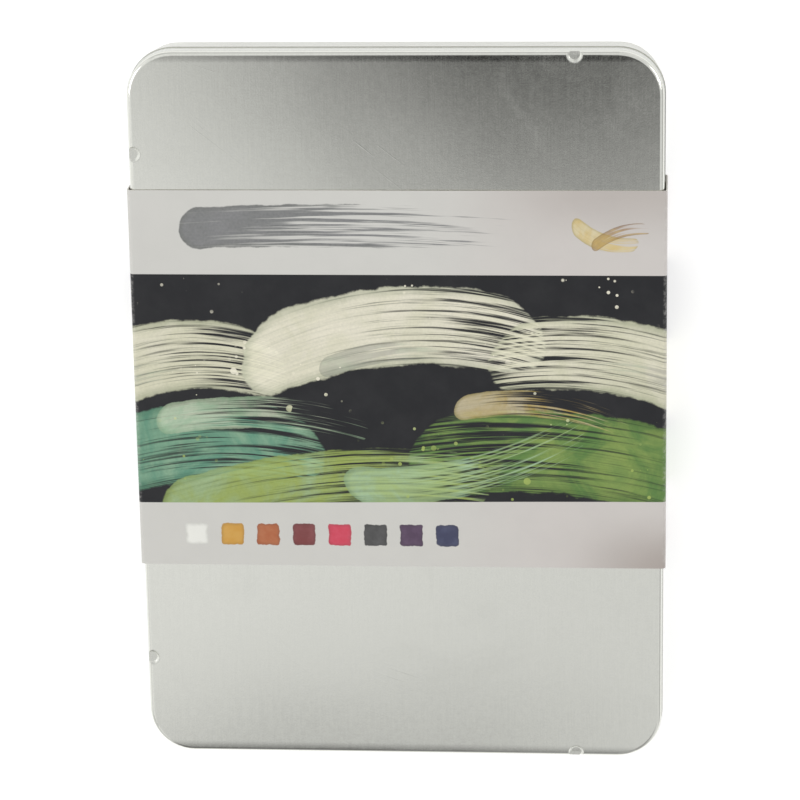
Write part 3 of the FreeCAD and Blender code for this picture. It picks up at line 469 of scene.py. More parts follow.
def pigment(name, colour, roughness):
    """Dry paint or a pigment core: a granular, slightly uneven matte colour."""
    n = Finish(name)
    place = n.place()
    grains = n.noise(place, 2600.0, 3.0, 0.7)
    clouds = n.noise(place, 240.0, 4.0, 0.6)
    tone = n.mix(n.rise(clouds, 0.3, 0.7), shade(colour, 0.82), [min(1.0, c * 1.08 + 0.015) for c in colour])
    return n.done(Base_Color=tone, Roughness=n.line(grains, 0.2, roughness - 0.1),
                  Normal=n.bump(n.plus(n.times(grains, 0.5), clouds), 0.3, 0.00012))


def pencil_lacquer(name, dip, start, settings):
    """A pencil's lacquer: thin blue coats with a wavy skin, a silver band, and an end dipped in its own colour and
    chipped at its edge."""
    n = Finish(name)
    place = n.place()
    back = n.minus(n.split(place)[1], start)
    dipped = n.rise(back, settings.dip_length * 1.004, settings.dip_length * 0.996)
    band = n.between(back, settings.dip_length, settings.dip_length + settings.band, 0.00003)
    clouds = n.noise(place, 160.0, 3.0)
    chips = n.rise(n.noise(place, 900.0, 3.0, 0.6), 0.70, 0.74)
    tone = n.mix(clouds, shade(settings.lacquer, 0.93), settings.lacquer)
    tone = n.mix(band, n.mix(dipped, tone, dip), (0.88, 0.88, 0.89))
    tone = n.mix(n.times(chips, n.rise(back, 0.0012, 0.0002)), tone, (0.74, 0.55, 0.38))
    return n.done(Base_Color=tone, Roughness=n.line(clouds, 0.10, 0.17), Metallic=n.times(band, 0.85),
                  Normal=n.bump(n.streaks(place, (700.0, 60.0, 700.0)), 0.12, 0.00005),
                  Coat_Weight=0.5, Coat_Roughness=0.08)


def lined_wrapper():
    """The eraser's white paper with two plain blue lines along its edges."""
    n = Finish("white_wrapper")
    uv = n.sheet()
    fibre = n.group("paper_fibre", Place=uv)
    lines = n.between(n.math("ABSOLUTE", n.split(uv)[0]), 0.0058, 0.0074, 0.00008)
    tone = n.mix(n.rise(fibre["Mottle"], 0.3, 0.7), (0.95, 0.95, 0.94), (0.90, 0.90, 0.90))
    tone = n.mix(n.times(lines, 0.9), tone, (0.42, 0.62, 0.74))
    return n.done(Base_Color=tone, Roughness=n.line(fibre["Fibre"], 0.15, 0.38),
                  Normal=n.bump(fibre["Fibre"], 0.15, 0.00006))


def brush_hair():
    """White brush hair: fine strands along Y."""
    n = Finish("white_hair")
    strands = n.streaks(n.place(), (5200.0, 60.0, 5200.0), 2.0, 0.7)
    return n.done(Base_Color=n.mix(strands, (0.80, 0.78, 0.72), (0.97, 0.96, 0.93)), Roughness=0.55,
                  Sheen_Weight=0.3, Normal=n.bump(strands, 0.6, 0.00012))


def sandpaper_grit():
    """Grit on paper: sharp grains over a warm ground."""
    n = Finish("fine_sandpaper")
    grit = n.add("TexVoronoi", Vector=n.place(), Scale=3200.0).outputs["Distance"]
    return n.done(Base_Color=n.mix(n.rise(grit, 0.15, 0.7), (0.70, 0.55, 0.38), (0.40, 0.28, 0.17)),
                  Roughness=0.95, Normal=n.bump(grit, 0.6, 0.00012))


def rubber_putty():
    """Soft grey putty with a kneaded, dusty skin."""
    n = Finish("grey_putty")
    folds = n.noise(n.place(), 130.0, 4.0, 0.6, 1.2)
    return n.done(Base_Color=n.mix(folds, (0.42, 0.43, 0.45), (0.58, 0.59, 0.60)), Roughness=0.7,
                  Normal=n.bump(folds, 0.4, 0.0004))


# Surfaces

def points3(x, y, z):
    """Points from three arrays that are broadcast together."""
    return np.stack(np.broadcast_arrays(x, y, z), axis=-1)


def mesh_object(name, points, faces, materials, kinds=None, uv=None):
    """A mesh object at the origin from whole arrays of points and of quads or triangles. kinds numbers the
    material of each face, and uv is given per point."""
    mesh = bpy.data.meshes.new(name)
    mesh.from_pydata(points.reshape(-1, 3).tolist(), [], [face for block in faces for face in block.tolist()])
    for material in materials:
        mesh.materials.append(material)
    if kinds is not None:
        mesh.polygons.foreach_set("material_index", kinds.astype(np.int32))
    mesh.polygons.foreach_set("use_smooth", np.ones(len(mesh.polygons), dtype=bool))
    if uv is not None:
        corners = np.empty(len(mesh.loops), dtype=np.int32)
        mesh.loops.foreach_get("vertex_index", corners)
        layer = mesh.uv_layers.new(name="sheet")
        layer.data.foreach_set("uv", uv.reshape(-1, 2)[corners].astype(np.float32).ravel())
    mesh.set_sharp_from_angle(angle=math.radians(38))
    mesh.update()
    piece = bpy.data.objects.new(name, mesh)
    bpy.context.scene.collection.objects.link(piece)
    return piece


def new_piece(name, body, slot, node, *mesh):
    """A mesh that rides on a body and takes a solid's place. Its slot is not used."""
    piece = mesh_object(name, *mesh)
    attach(piece, body)
    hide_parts(node)


def quads(index, flip=False):
    """The quads of a grid of point numbers."""
    a, b, c, d = index[:-1, :-1], index[1:, :-1], index[1:, 1:], index[:-1, 1:]
    corners = (a, d, c, b) if flip else (a, b, c, d)
    return np.stack(corners, axis=-1).reshape(-1, 4)


def sheet_shell(outer, inner):
    """A closed sheet between two grids, whose outward side is row direction cross column direction. Returns
    points, quads and a number for each quad: 0 outer side, 1 inner side, 2 cut edge."""
    rows, columns = outer.shape[:2]
    first = np.arange(rows * columns).reshape(rows, columns)
    second = first + rows * columns
    edges = [(second[0], first[0]), (first[-1], second[-1]), (first[:, 0], second[:, 0]),
             (second[:, -1], first[:, -1])]
    rims = np.concatenate([quads(np.stack(edge)) for edge in edges])
    faces = [quads(first), quads(second, flip=True), rims]
    kinds = np.repeat([0, 1, 2], [len(block) for block in faces])
    return np.concatenate([outer.reshape(-1, 3), inner.reshape(-1, 3)]), faces, kinds


def closed_skin(rings, flip=False):
    """A closed skin over rings of points: quads from ring to ring, and a fan from each end ring to its middle.
    Returns points and faces; the rings run along +Y and turn from +X to +Z, or the other way with flip."""
    count, around = rings.shape[:2]
    size = count * around
    index = np.arange(size).reshape(count, around)
    wrapped = np.concatenate([index, index[:, :1]], axis=1)
    first, last = wrapped[0], wrapped[-1]
    start = np.stack([np.full(around, size), first[:-1], first[1:]], axis=1)
    end = np.stack([np.full(around, size + 1), last[1:], last[:-1]], axis=1)
    if flip:
        start, end = start[:, ::-1], end[:, ::-1]
    middles = rings[[0, -1]].mean(axis=1)
    return np.concatenate([rings.reshape(-1, 3), middles]), [quads(wrapped, flip), start, end]


def rounded_outline(middles, corners, radius, per_corner, per_side):
    """A closed outline in two axes: an arc about the middle of each corner, facing the corner's angle, and straight
    sides that join the arcs."""
    half = math.pi / len(corners)
    turn = corners[:, None] + np.linspace(-half, half, per_corner)
    arcs = middles[:, None, :] + radius * np.stack([np.cos(turn), np.sin(turn)], axis=-1)
    t = np.linspace(0, 1, per_side + 2)[1:-1, None]
    sides = arcs[:, -1:, :] * (1 - t) + np.roll(arcs, -1, axis=0)[:, :1, :] * t
    return np.concatenate([arcs, sides], axis=1).reshape(-1, 2)


def hexagon(flats, rounding):
    """A hexagon with round corners, whose arcs lie about the corners of a smaller hexagon."""
    corners = np.radians(np.arange(6) * 60)
    reach = (flats / 2 - rounding) / math.cos(math.radians(30))
    middles = reach * np.stack([np.cos(corners), np.sin(corners)], axis=-1)
    return rounded_outline(middles, corners, rounding, 5, 9)


def rounded_rectangle(width, length, radius, per_corner=6, per_side=10):
    """A rectangle with round corners, about its middle."""
    corners = np.radians(np.arange(4) * 90 + 45)
    signs = np.sign(np.stack([np.cos(corners), np.sin(corners)], axis=-1))
    middles = signs * (np.array([width, length]) / 2 - radius)
    return rounded_outline(middles, corners, radius, per_corner, per_side)


def pencil_rings(low, high, tip_y, settings):
    """Rings of a pencil casing: a rounded hexagon with a domed, dipped end, cut by the point's cone. Each point of
    the hexagon meets the cone at its own Y, where its distance from the axis is the cone's, so the painted edge
    comes out scalloped. Returns the rings and the number of painted spans."""
    x, _, z = (low + high) / 2
    section = hexagon(settings.flats, settings.rounding)
    reach = np.linalg.norm(section, axis=1)
    slope = (settings.flats / math.sqrt(3) - settings.tip_radius) / settings.point
    edge_y = tip_y - (reach - settings.tip_radius) / slope
    dome, dip = settings.end_radius, settings.dip_length
    turn = np.linspace(0, math.pi / 2, 6)
    shrink = 1 - dome / (settings.flats / 2) * (1 - np.sin(turn))
    thick = 1 + settings.dip_thickness / (settings.flats / 2)
    end_y = low[1] + np.r_[dome * (1 - np.cos(turn)), dip * np.array([0.5, 0.985, 1.0, 1.16])]
    end_scale = np.r_[shrink * thick, thick, thick, 1.0, 1.0]
    run = np.linspace(0, 1, 9)[1:, None]
    barrel_y = end_y[-1] + (edge_y - end_y[-1]) * run
    wood_reach = reach + (settings.lead_radius - reach) * np.linspace(0, 1, 12)[1:, None]
    wood_y = tip_y - (wood_reach - settings.tip_radius) / slope
    level = np.ones_like(reach)
    scale = np.concatenate([end_scale[:, None] * level, np.ones_like(barrel_y), wood_reach / reach])
    y = np.concatenate([end_y[:, None] * level, barrel_y, wood_y])
    rings = points3(x + section[:, 0] * scale, y, z + section[:, 1] * scale)
    return rings, len(end_y) + len(run) - 1


def cake_rings(low, high, corner, edge, hollow, seed):
    """Rings of a cake of paint: its outline rises from the floor of the pan and rolls over a soft edge, then closes
    on the middle while its height falls into a hollow off centre, with the ripples a wet brush leaves."""
    middle = (low + high) / 2
    outline = rounded_rectangle(high[0] - low[0], high[1] - low[1], corner)
    turn = np.linspace(0, math.pi / 2, 5)
    half = (high[1] - low[1]) / 2
    shares = np.r_[1.0, 1 - edge / half * (1 - np.cos(turn)), np.linspace(1 - edge / half, 0.02, 15)[1:]]
    heights = np.r_[low[2], high[2] - edge * (1 - np.sin(turn)), np.full(14, high[2])]
    flat = outline[None, :, :] * shares[:, None, None]
    u, v = flat[..., 0] / MM, flat[..., 1] / MM
    worn = np.exp(-((u - 1.6 * np.sin(seed)) ** 2 / 22.0 + (v - 1.2 * np.cos(seed)) ** 2 / 14.0))
    ripple = np.sin(0.9 * u + 1.7 * v + seed) * np.sin(1.3 * u - 0.7 * v + 2.0 * seed)
    inside = np.clip((1 - edge / half - shares) * 6, 0, 1)[:, None]
    z = heights[:, None] - inside * (hollow * worn + 0.04 * hollow * (1 + ripple))
    return points3(middle[0] + flat[..., 0], middle[1] + flat[..., 1], z)


def hair_rings(low, high, settings):
    """Rings of the brush head: a belly that closes to a point, its radius ridged by slowly twisting locks."""
    x, _, z = (low + high) / 2
    belly = (high[0] - low[0]) / 2
    widest = 0.36  # share of the hair's length at which it is widest
    root = settings.root_radius
    mouth = high[1] - settings.hair_length
    y = np.r_[low[1], np.linspace(mouth, high[1] - 0.0004, 34), high[1]][:, None]
    t = np.clip((y - mouth) / settings.hair_length, 0, 1)
    swell = root + (belly - root) * np.sin(np.clip(t / widest, 0, 1) * math.pi / 2)
    close = np.clip((t - widest) / (1 - widest), 0, 1)
    radius = swell * (1 - close ** 1.7) ** 0.85 * (1 - 0.02 * close) + 0.00006
    angle = np.linspace(0, 2 * math.pi, 120, endpoint=False)
    locks = 0.55 * np.sin(19 * angle + 2.2 * t) + 0.45 * np.sin(31 * angle - 3.0 * t + 1.0)
    r = radius * (1 - 0.045 * np.clip(t / 0.15, 0, 1) * (0.5 - 0.5 * locks))
    return points3(x + r * np.cos(angle), y, z + r * np.sin(angle))


def putty_rings(low, high, corner, bulge):
    """Rings of the kneaded block: a rounded section along Y whose ends swell and sink in soft dents."""
    middle = (low + high) / 2
    section = rounded_rectangle(high[0] - low[0], high[2] - low[2], corner, 7, 12)
    turn = np.linspace(0, math.pi / 2, 6)
    half = (high[2] - low[2]) / 2
    ends = np.r_[np.linspace(0.06, 1 - corner / half, 8)[:-1], 1 - corner / half * (1 - np.sin(turn))]
    depth = np.r_[np.zeros(7), corner * (1 - np.cos(turn))]
    share = np.r_[ends, 1.0, ends[::-1]]
    y = np.r_[low[1] + depth, middle[1], (high[1] - depth)[::-1]]
    flat = section[None, :, :] * share[:, None, None]
    u, v = flat[..., 0] / MM, flat[..., 1] / MM
    dents = 0.5 + 0.5 * np.sin(0.55 * u + 0.6) * np.cos(0.8 * v + 0.3)
    toward = np.sign(middle[1] - y)[:, None]
    face = np.clip(1.4 - share, 0, 0.6)[:, None] / 0.6
    return points3(middle[0] + flat[..., 0], y[:, None] + bulge * dents * face * toward, middle[2] + flat[..., 1])


def wrapping_line(low, high, thick, radius, seam, flap, joggle):
    """The middle line in X and Z of a strip wrapped inside a box, about X 0: from the outer flap's cut edge along
    the underside, up the +X side, over the top, down the -X side and back under, where it steps up by its own
    thickness inside the flap."""
    def run(start, end, count):
        t = np.linspace(0, 1, count)[:, None]
        return np.array(start) * (1 - t) + np.array(end) * t

    def bend(x, z, start):
        a = np.radians(np.linspace(start, start + 90, 9))
        return np.stack([x + radius * np.cos(a), z + radius * np.sin(a)], axis=1)

    side = (high[0] - low[0]) / 2 - thick / 2
    z0, z1 = low[2] + thick / 2, high[2] - thick / 2
    x, foot, head = side - radius, z0 + radius, z1 - radius
    t = np.linspace(0, 1, 9)
    step = np.stack([seam - 2 * joggle + joggle * t, z0 + thick * (3 * t ** 2 - 2 * t ** 3)], axis=1)
    line = np.concatenate([
        run((seam, z0), (x, z0), 24), bend(x, foot, -90), run((side, foot), (side, head), 12), bend(x, head, 0),
        run((x, z1), (-x, z1), 80), bend(-x, head, 90), run((-side, head), (-side, foot), 12), bend(-x, foot, 180),
        run((-x, z0), (seam - 2 * joggle, z0), 24), step,
        run((seam - joggle, z0 + thick), (seam + flap, z0 + thick), 10)])
    return line[np.r_[True, np.linalg.norm(np.diff(line, axis=0), axis=1) > 1e-7]]


def on_top(line):
    """Which points of a line in X and Z lie on its highest run."""
    return np.isclose(line[:, 1], line[:, 1].max())


def strip_shell(line, thick, y, lift):
    """A strip carried along a line in X and Z and drawn out along Y: its two sides stand half its thickness off the
    line along the line's normal, moved out by lift. Returns points, faces, kinds and each point's place on the
    flat strip, measured along the line from the middle of its top and along Y."""
    steps = np.gradient(line, axis=0)
    steps /= np.linalg.norm(steps, axis=1, keepdims=True)
    normal = np.stack([steps[:, 1], -steps[:, 0]], axis=1)[:, None, :]
    run = np.r_[0, np.cumsum(np.linalg.norm(np.diff(line, axis=0), axis=1))]
    run -= run[on_top(line)].mean()
    middle = line[:, None, :] + normal * lift[:, :, None]
    sides = [middle + off * normal for off in (thick / 2, -thick / 2)]
    points, faces, kinds = sheet_shell(*[points3(side[..., 0], y, side[..., 1]).transpose(1, 0, 2) for side in sides])
    sheet = np.stack(np.broadcast_arrays(-run[None, :], y[:, None]), axis=-1)
    return points, faces, kinds, np.concatenate([sheet, sheet])


def sandpaper_sheets(low, high, count):
    """A stack of thin sheets, each shifted a little from the one below, lying in slow waves. Returns points, faces
    and kinds of all sheets, end to end."""
    x, y = np.meshgrid(np.linspace(low[0], high[0], 9), np.linspace(low[1], high[1], 30), indexing="ij")
    pitch = (high[2] - low[2]) / count
    gap, thick = 0.12 * pitch, 0.74 * pitch
    shells = []
    for number in range(count):
        dx, dy = 0.0002 * math.sin(2.1 * number), 0.0003 * math.cos(1.7 * number) - 0.0001
        wave = gap * np.sin(y / 0.006 + 1.9 * number) * np.sin(x / 0.004 + number)
        place = points3(x + dx, y + dy, low[2] + pitch * number + gap + wave)
        shells.append(sheet_shell(place + np.array([0, 0, thick]), place))
    points, groups, kinds = zip(*shells)
    faces = [block + number * len(points[0]) for number, group in enumerate(groups) for block in group]
    return np.concatenate(points), faces, np.concatenate(kinds)


def pocket_drop(x, y, pocket, settings):
    """How far a pocket sinks below the flange at each place. By the distance outside the pocket's rounded outline:
    a quarter-round lip, a steep wall, a small foot radius and then the flat floor."""
    (x0, y0), (x1, y1), depth = pocket
    corner = settings.corner
    qx = np.abs(x - (x0 + x1) / 2) - ((x1 - x0) / 2 - corner)
    qy = np.abs(y - (y0 + y1) / 2) - ((y1 - y0) / 2 - corner)
    out = np.hypot(np.maximum(qx, 0), np.maximum(qy, 0)) + np.minimum(np.maximum(qx, qy), 0) - corner
    lip, foot, draft = settings.lip, settings.foot, settings.draft
    round_lip = lip - np.sqrt(np.clip(lip ** 2 - (draft + lip - out) ** 2, 0, None))
    wall = lip + (depth - foot - lip) * (1 - out / draft)
    round_foot = depth - foot + np.sqrt(np.clip(foot ** 2 - (foot + out) ** 2, 0, None))
    return np.select([out >= draft + lip, out >= draft, out >= 0, out >= -foot],
                     [0.0, round_lip, wall, round_foot], depth)


RIDGE_HALF = 0.0014
RIDGE_LENGTH = 0.018
RIDGE_RAMP = 0.0015
FLANGE_RIM = 0.0004
LINES_APART = 0.00004


def tray_grids(low, high, pockets, ridges, settings):
    """The upper and lower face of the formed tray, as heights over a grid whose lines crowd round every pocket wall.
    Near the ends the outermost points of a row are drawn in to the flange's round corners; a height is the deepest
    pocket there, with low ridges between the pencils."""
    steps = np.array([-1.2, -0.4, -0.12, 0.0, 1.0, 1.2, 1.6, 2.6, 4.2]) * settings.draft
    sides = []
    for axis in (0, 1):
        starts = np.array([pocket[0][axis] for pocket in pockets])
        ends = np.array([pocket[1][axis] for pocket in pockets])
        lines = np.r_[(starts[:, None] - steps).ravel(), (ends[:, None] + steps).ravel(),
                      np.linspace(low[axis], high[axis], 44)]
        lines = np.unique(np.round(np.clip(lines, low[axis], high[axis]), 5))
        sides.append(lines[np.r_[True, np.diff(lines) > LINES_APART]])
    x, y = np.meshgrid(*sides, indexing="ij")
    corner = settings.flange_corner
    past = np.clip(np.abs(y) - (high[1] - corner), 0, corner)
    inner = high[0] - corner + np.sqrt(corner ** 2 - past ** 2) - FLANGE_RIM
    drawn_in = inner + (np.abs(x) - inner) * FLANGE_RIM / (high[0] - inner)
    x = np.where(np.abs(x) > inner, np.sign(x) * drawn_in, x)
    drop = np.max([pocket_drop(x, y, pocket, settings) for pocket in pockets], axis=0)
    rise = np.max([settings.ridge_height * np.clip(1 - np.abs(x - ridge_x) / RIDGE_HALF, 0, 1) ** 1.3
                   * np.clip((RIDGE_LENGTH / 2 - np.abs(y - ridge_y)) / RIDGE_RAMP, 0, 1)
                   for ridge_x, ridge_y in ridges], axis=0)
    z = high[2] - drop + rise
    return points3(x, y, z), points3(x, y, z - settings.sheet)


# The print
# the first two colours below are painted shade for the sleeve's pale strips, a rosy one and a darker one, not print
ROSY_SHADED_CARD = (0.805, 0.775, 0.760)
SHADED_CARD = (0.675, 0.640, 0.615)
BARE_CARD = (0.88, 0.87, 0.85)
CREAM = (0.90, 0.89, 0.78)
WARM = (0.96, 0.94, 0.86)
LIME = (0.66, 0.73, 0.38)
LEAF = (0.38, 0.54, 0.27)
SEA = (0.40, 0.62, 0.52)
MINT = (0.68, 0.80, 0.66)
GOLD = (0.84, 0.72, 0.36)
BROWN = (0.55, 0.38, 0.22)
DUSK = (0.44, 0.44, 0.46)
SLATE = (0.36, 0.37, 0.38)
# Strokes: start, end, half width and bend in mm, colour, bloom, strength, dryness, seed
HEADER_STROKES = [
    ((-56, 55), (32, 54), 6.4, 1.2, SLATE, DUSK, 0.9, 0.85, 3.0),
    ((52, 55), (66, 50), 2.6, -1.5, GOLD, CREAM, 0.85, 0.5, 11.0),
    ((57, 50.5), (70, 55), 1.8, 1.2, BROWN, GOLD, 0.8, 0.6, 12.0),
]
PANEL_STROKES = [
    ((-98, -20), (-34, -10), 12.0, 5.0, SEA, MINT, 0.92, 0.5, 1.0),
    ((98, -24), (16, -12), 13.0, -5.0, LEAF, LIME, 0.92, 0.5, 2.0),
    ((-62, -28), (18, -20), 8.5, 4.0, LIME, MINT, 0.88, 0.6, 4.0),
    ((-10, -22), (48, -8), 6.0, -4.0, MINT, LIME, 0.8, 0.75, 8.0),
    ((-96, 4), (-44, 16), 11.0, 6.0, CREAM, WARM, 0.93, 0.45, 5.0),
    ((-34, 18), (30, 24), 12.0, 5.0, WARM, CREAM, 0.96, 0.42, 6.0),
    ((98, 4), (38, 18), 11.5, -5.0, CREAM, WARM, 0.94, 0.45, 7.0),
    ((-66, -2), (-14, -4), 5.0, 3.0, MINT, WARM, 0.7, 0.8, 10.0),
    ((20, 2), (64, -3), 4.0, 3.5, GOLD, WARM, 0.7, 0.8, 9.0),
    ((-20, 14), (22, 18), 3.2, 3.0, DUSK, MINT, 0.42, 0.8, 13.0),
    ((-86, 6), (-56, 12), 3.0, 3.0, DUSK, MINT, 0.38, 0.8, 14.0),
    ((88, 6), (52, 13), 3.0, -3.0, DUSK, MINT, 0.38, 0.8, 15.0),
]


# Settings

CORE_RADIUS = 0.00175


def a_length(name, description, default):
    return FloatProperty(name=name, description=description, unit="LENGTH", default=default)


def a_colour(name, description, default):
    return FloatVectorProperty(name=name, description=description, subtype="COLOR", min=0.0, max=1.0, default=default)


def a_span(name, default):
    return FloatVectorProperty(name=name, description="First and last X, first and last Y of its pocket", size=4,
                               unit="LENGTH", default=default)


def a_level(name, description, default):
    return FloatProperty(name=name, description=description, min=0.0, default=default)


class TinSettings(bpy.types.PropertyGroup):
    colour: a_colour("Tinplate", "Colour of the bare tinplate", (0.89, 0.893, 0.865))
    roughness: FloatProperty(name="Roughness", description="How satin the tinplate is", subtype="FACTOR",
                             min=0.0, max=1.0, default=0.10)


class SleeveSettings(bpy.types.PropertyGroup):
    card: a_length("Card", "Thickness of the card", 0.0004)
    crease: a_length("Crease", "Outer radius of the folded edges", 0.0012)
    seam: a_length("Seam", "Place of the glued seam across the underside", 0.018)
    flap: a_length("Flap", "Width of the glued flap", 0.014)
    lift: a_length("Lift", "How far the card's free edges stand off the lid", 0.0002)
    panel_top: a_length("Panel Top", "Upper edge of the dark panel", 0.0413)
    panel_bottom: a_length("Panel Bottom", "Lower edge of the dark panel", -0.0270)
    panel_skew: a_length("Panel Skew", "How far the panel's lower edge rises towards the hinge", 0.0007)
    swatch_first: a_length("First Swatch", "Middle of the first colour swatch", -0.060)
    swatch_pitch: a_length("Swatch Pitch", "Distance between swatches", 0.0105)
    swatch_height: a_length("Swatch Height", "Middle of the row of swatches", -0.0372)
    swatch_half: a_length("Swatch Size", "Half the width of a swatch", 0.0034)
    panel: a_colour("Panel", "Ground colour of the dark panel", (0.085, 0.088, 0.105))
    pale_upper: a_colour("Upper Strip", "Colour of the upper pale strip", (0.818, 0.814, 0.793))
    pale_lower: a_colour("Lower Strip", "Colour of the lower pale strip", (0.812, 0.807, 0.785))


class TraySettings(bpy.types.PropertyGroup):
    sheet: a_length("Sheet", "Thickness of the formed sheet", 0.0005)
    corner: a_length("Pocket Corner", "Corner radius of the pockets", 0.002)
    flange_corner: a_length("Flange Corner", "Corner radius of the flange", 0.0104)
    lip: a_length("Lip", "Radius of a pocket's upper edge", 0.0008)
    foot: a_length("Foot", "Radius at the foot of a pocket's wall", 0.0003)
    draft: a_length("Draft", "How far a wall leans outwards", 0.00025)
    pencil_bay: a_span("Pencil Bay", (-0.0706, -0.0036, -0.097, 0.089))
    brush_slot: a_span("Brush Slot", (-0.0018, 0.0072, -0.097, 0.089))
    ridge_height: a_length("Ridge", "Height of the ridges between pencils", 0.002)


class PencilSettings(bpy.types.PropertyGroup):
    lacquer: a_colour("Lacquer", "Colour of the casings", (0.53, 0.75, 0.87))
    flats: a_length("Flats", "Width across the flats", 0.0069)
    rounding: a_length("Rounding", "Radius of the six edges", 0.0009)
    point: a_length("Point", "Length of the sharpened point", 0.021)
    tip_radius: a_length("Tip Radius", "Radius at the very tip", 0.00035)
    lead_radius: a_length("Lead Radius", "Radius of the core", CORE_RADIUS)
    end_radius: a_length("End Radius", "Radius of the dipped end's edge", 0.0008)
    dip_length: a_length("Dip", "Length of the dipped end", 0.013)
    dip_thickness: a_length("Dip Thickness", "Thickness of the dip's extra paint", 0.00004)
    band: a_length("Band", "Width of the silver band", 0.0019)


class PaintSettings(bpy.types.PropertyGroup):
    corner: a_length("Cake Corner", "Corner radius of a cake", 0.0007)
    edge: a_length("Cake Edge", "Radius of a cake's upper edge", 0.0006)
    hollow: a_length("Hollow", "Depth that the brush has worn", 0.0005)


class BrushSettings(bpy.types.PropertyGroup):
    hair_length: a_length("Hair", "Length of the hair out of the ferrule", 0.017)
    root_radius: a_length("Root", "Radius of the hair in the ferrule", 0.00195)
    handle: a_colour("Handle", "Colour of the lacquered handle", (0.07, 0.24, 0.17))


class ToolSettings(bpy.types.PropertyGroup):
    sheets: IntProperty(name="Sheets", description="Sheets in the sanding pad", min=1, max=20, default=8)
    wrapper: a_length("Wrapper", "Thickness of the eraser's paper", 0.00025)
    putty_corner: a_length("Eraser Corner", "Radius of the eraser's edges", 0.0016)
    dents: a_length("Dents", "Depth of the dents in the eraser's ends", 0.0006)


class StageSettings(bpy.types.PropertyGroup):
    camera: FloatVectorProperty(name="Camera", description="Place of the camera", subtype="TRANSLATION",
                                unit="LENGTH", default=(0.0790, 0.2976, 0.9894))
    look: FloatVectorProperty(name="Look", description="Direction that the camera looks along", subtype="DIRECTION",
                              default=(-0.0774983, -0.28909015, -0.95415979))
    up: FloatVectorProperty(name="Up", description="Upward direction of the picture", subtype="DIRECTION",
                            default=(-0.00619154, 0.95715919, -0.28949602))
    lens: FloatProperty(name="Lens", description="Focal length on a 36 mm sensor, in millimetres", default=158.5)
    ceiling: a_level("Ceiling", "Brightness straight overhead", 0.02)
    walls: a_level("Walls", "Brightness round about", 0.865)
    flags: a_level("Flags", "How much three hanging flags darken the walls", 0.32)
    floor: a_colour("Floor", "Colour of the floor", (0.93, 0.93, 0.93))
    glow: a_level("Glow", "Light that the floor itself shows to the camera and in reflections", 0.43)


# Soft lamps: name, place and power; each is a square of LAMP_SIZE that faces the middle of the part
LAMP_SIZE = 0.8
LAMPS = [("left_softbox", (-1.5, 0.2, 1.4), 7.0), ("right_softbox", (1.5, 0.5, 1.4), 5.0)]
FLOOR_HALF = 6.0
FLOOR_HEIGHT = -0.0001  # clear of the sleeve's underside


# Operators

class DRAWINGSET_OT_tin(bpy.types.Operator):
    """Finishes the lid, the base and the hinge wires"""
    bl_idname = "drawing_set.tin"
    bl_label = "Tin"

    def execute(self, context):
        settings = context.scene.drawing_set_tin
        dress(tinplate("satin_tinplate", settings.colour, settings.roughness), "tin_lid", "tin_base")
        wire = metal("hinge_wire", COLOURS["hinge_wire"], roughness=0.3, scales=(2600.0, 40.0, 2600.0))
        dress(wire, "hinge_pin_upper", "hinge_pin_lower")
        return {"FINISHED"}


class DRAWINGSET_OT_card_sleeve(bpy.types.Operator):
    """Makes the printed card sleeve with its glued seam"""
    bl_idname = "drawing_set.card_sleeve"
    bl_label = "Card Sleeve"

    def execute(self, context):
        settings = context.scene.drawing_set_sleeve
        low, high = node_box("card_sleeve")
        card = settings.card
        line = wrapping_line(low, high, card, settings.crease - card / 2, settings.seam, settings.flap, joggle=0.003)
        x, y = line[:, :1], np.linspace(low[1], high[1], 64)
        # along its two free edges the card stands off the lid in slow waves, less and less towards its folds
        fade_length, wave_length, half_width = 0.007, 0.0125, 0.074
        fade = np.exp(-np.minimum(y - low[1], high[1] - y) / fade_length)
        waves = 0.5 + 0.5 * np.sin(x / wave_length + np.where(y > 0, 0.4, 2.1))
        flat = np.clip(1 - np.abs(x) / half_width, 0, 1) ** 0.5 * on_top(line)[:, None]
        points, faces, kinds, uv = strip_shell(line, card, y, settings.lift * fade * waves * flat)
        finishes = [printed_card(settings), paper("raw_card", (0.72, 0.70, 0.66)),
                    paper("cut_card", (0.90, 0.89, 0.86))]
        new_piece("printed_sleeve", "sleeve", "printed_card", "card_sleeve", points, faces, finishes, kinds, uv)
        return {"FINISHED"}


class DRAWINGSET_OT_tray(bpy.types.Operator):
    """Makes the formed insert tray, with a soft-edged pocket for every piece"""
    bl_idname = "drawing_set.tray"
    bl_label = "Insert Tray"

    def execute(self, context):
        settings = context.scene.drawing_set_tray
        low, high = node_box("insert_tray")
        bed = high[2] - node_box("pencil_1_barrel")[0][2]
        pockets = [((x0, y0), (x1, y1), bed) for x0, x1, y0, y1 in (settings.pencil_bay, settings.brush_slot)]
        plays = {"sharpener_body": 0.0007, "eraser_wrapper": 0.0007, "sanding_paddle": 0.0006}
        plays.update({f"paint_pan_{number}": 0.0003 for number in NUMBERS})
        for node, play in plays.items():
            first, last = node_box(node)
            pockets.append((first[:2] - play, last[:2] + play, high[2] - first[2]))
        axes = [node_box(f"pencil_{number}_lead")[0][0] + CORE_RADIUS for number in NUMBERS]
        ridges = [((a + b) / 2, y) for a, b in zip(axes, axes[1:]) for y in (0.040, -0.058)]
        points, faces, _ = sheet_shell(*tray_grids(low, high, pockets, ridges, settings))
        new_piece("formed_tray", "base", "tray_black", "insert_tray", points, faces, [formed_plastic()])
        return {"FINISHED"}


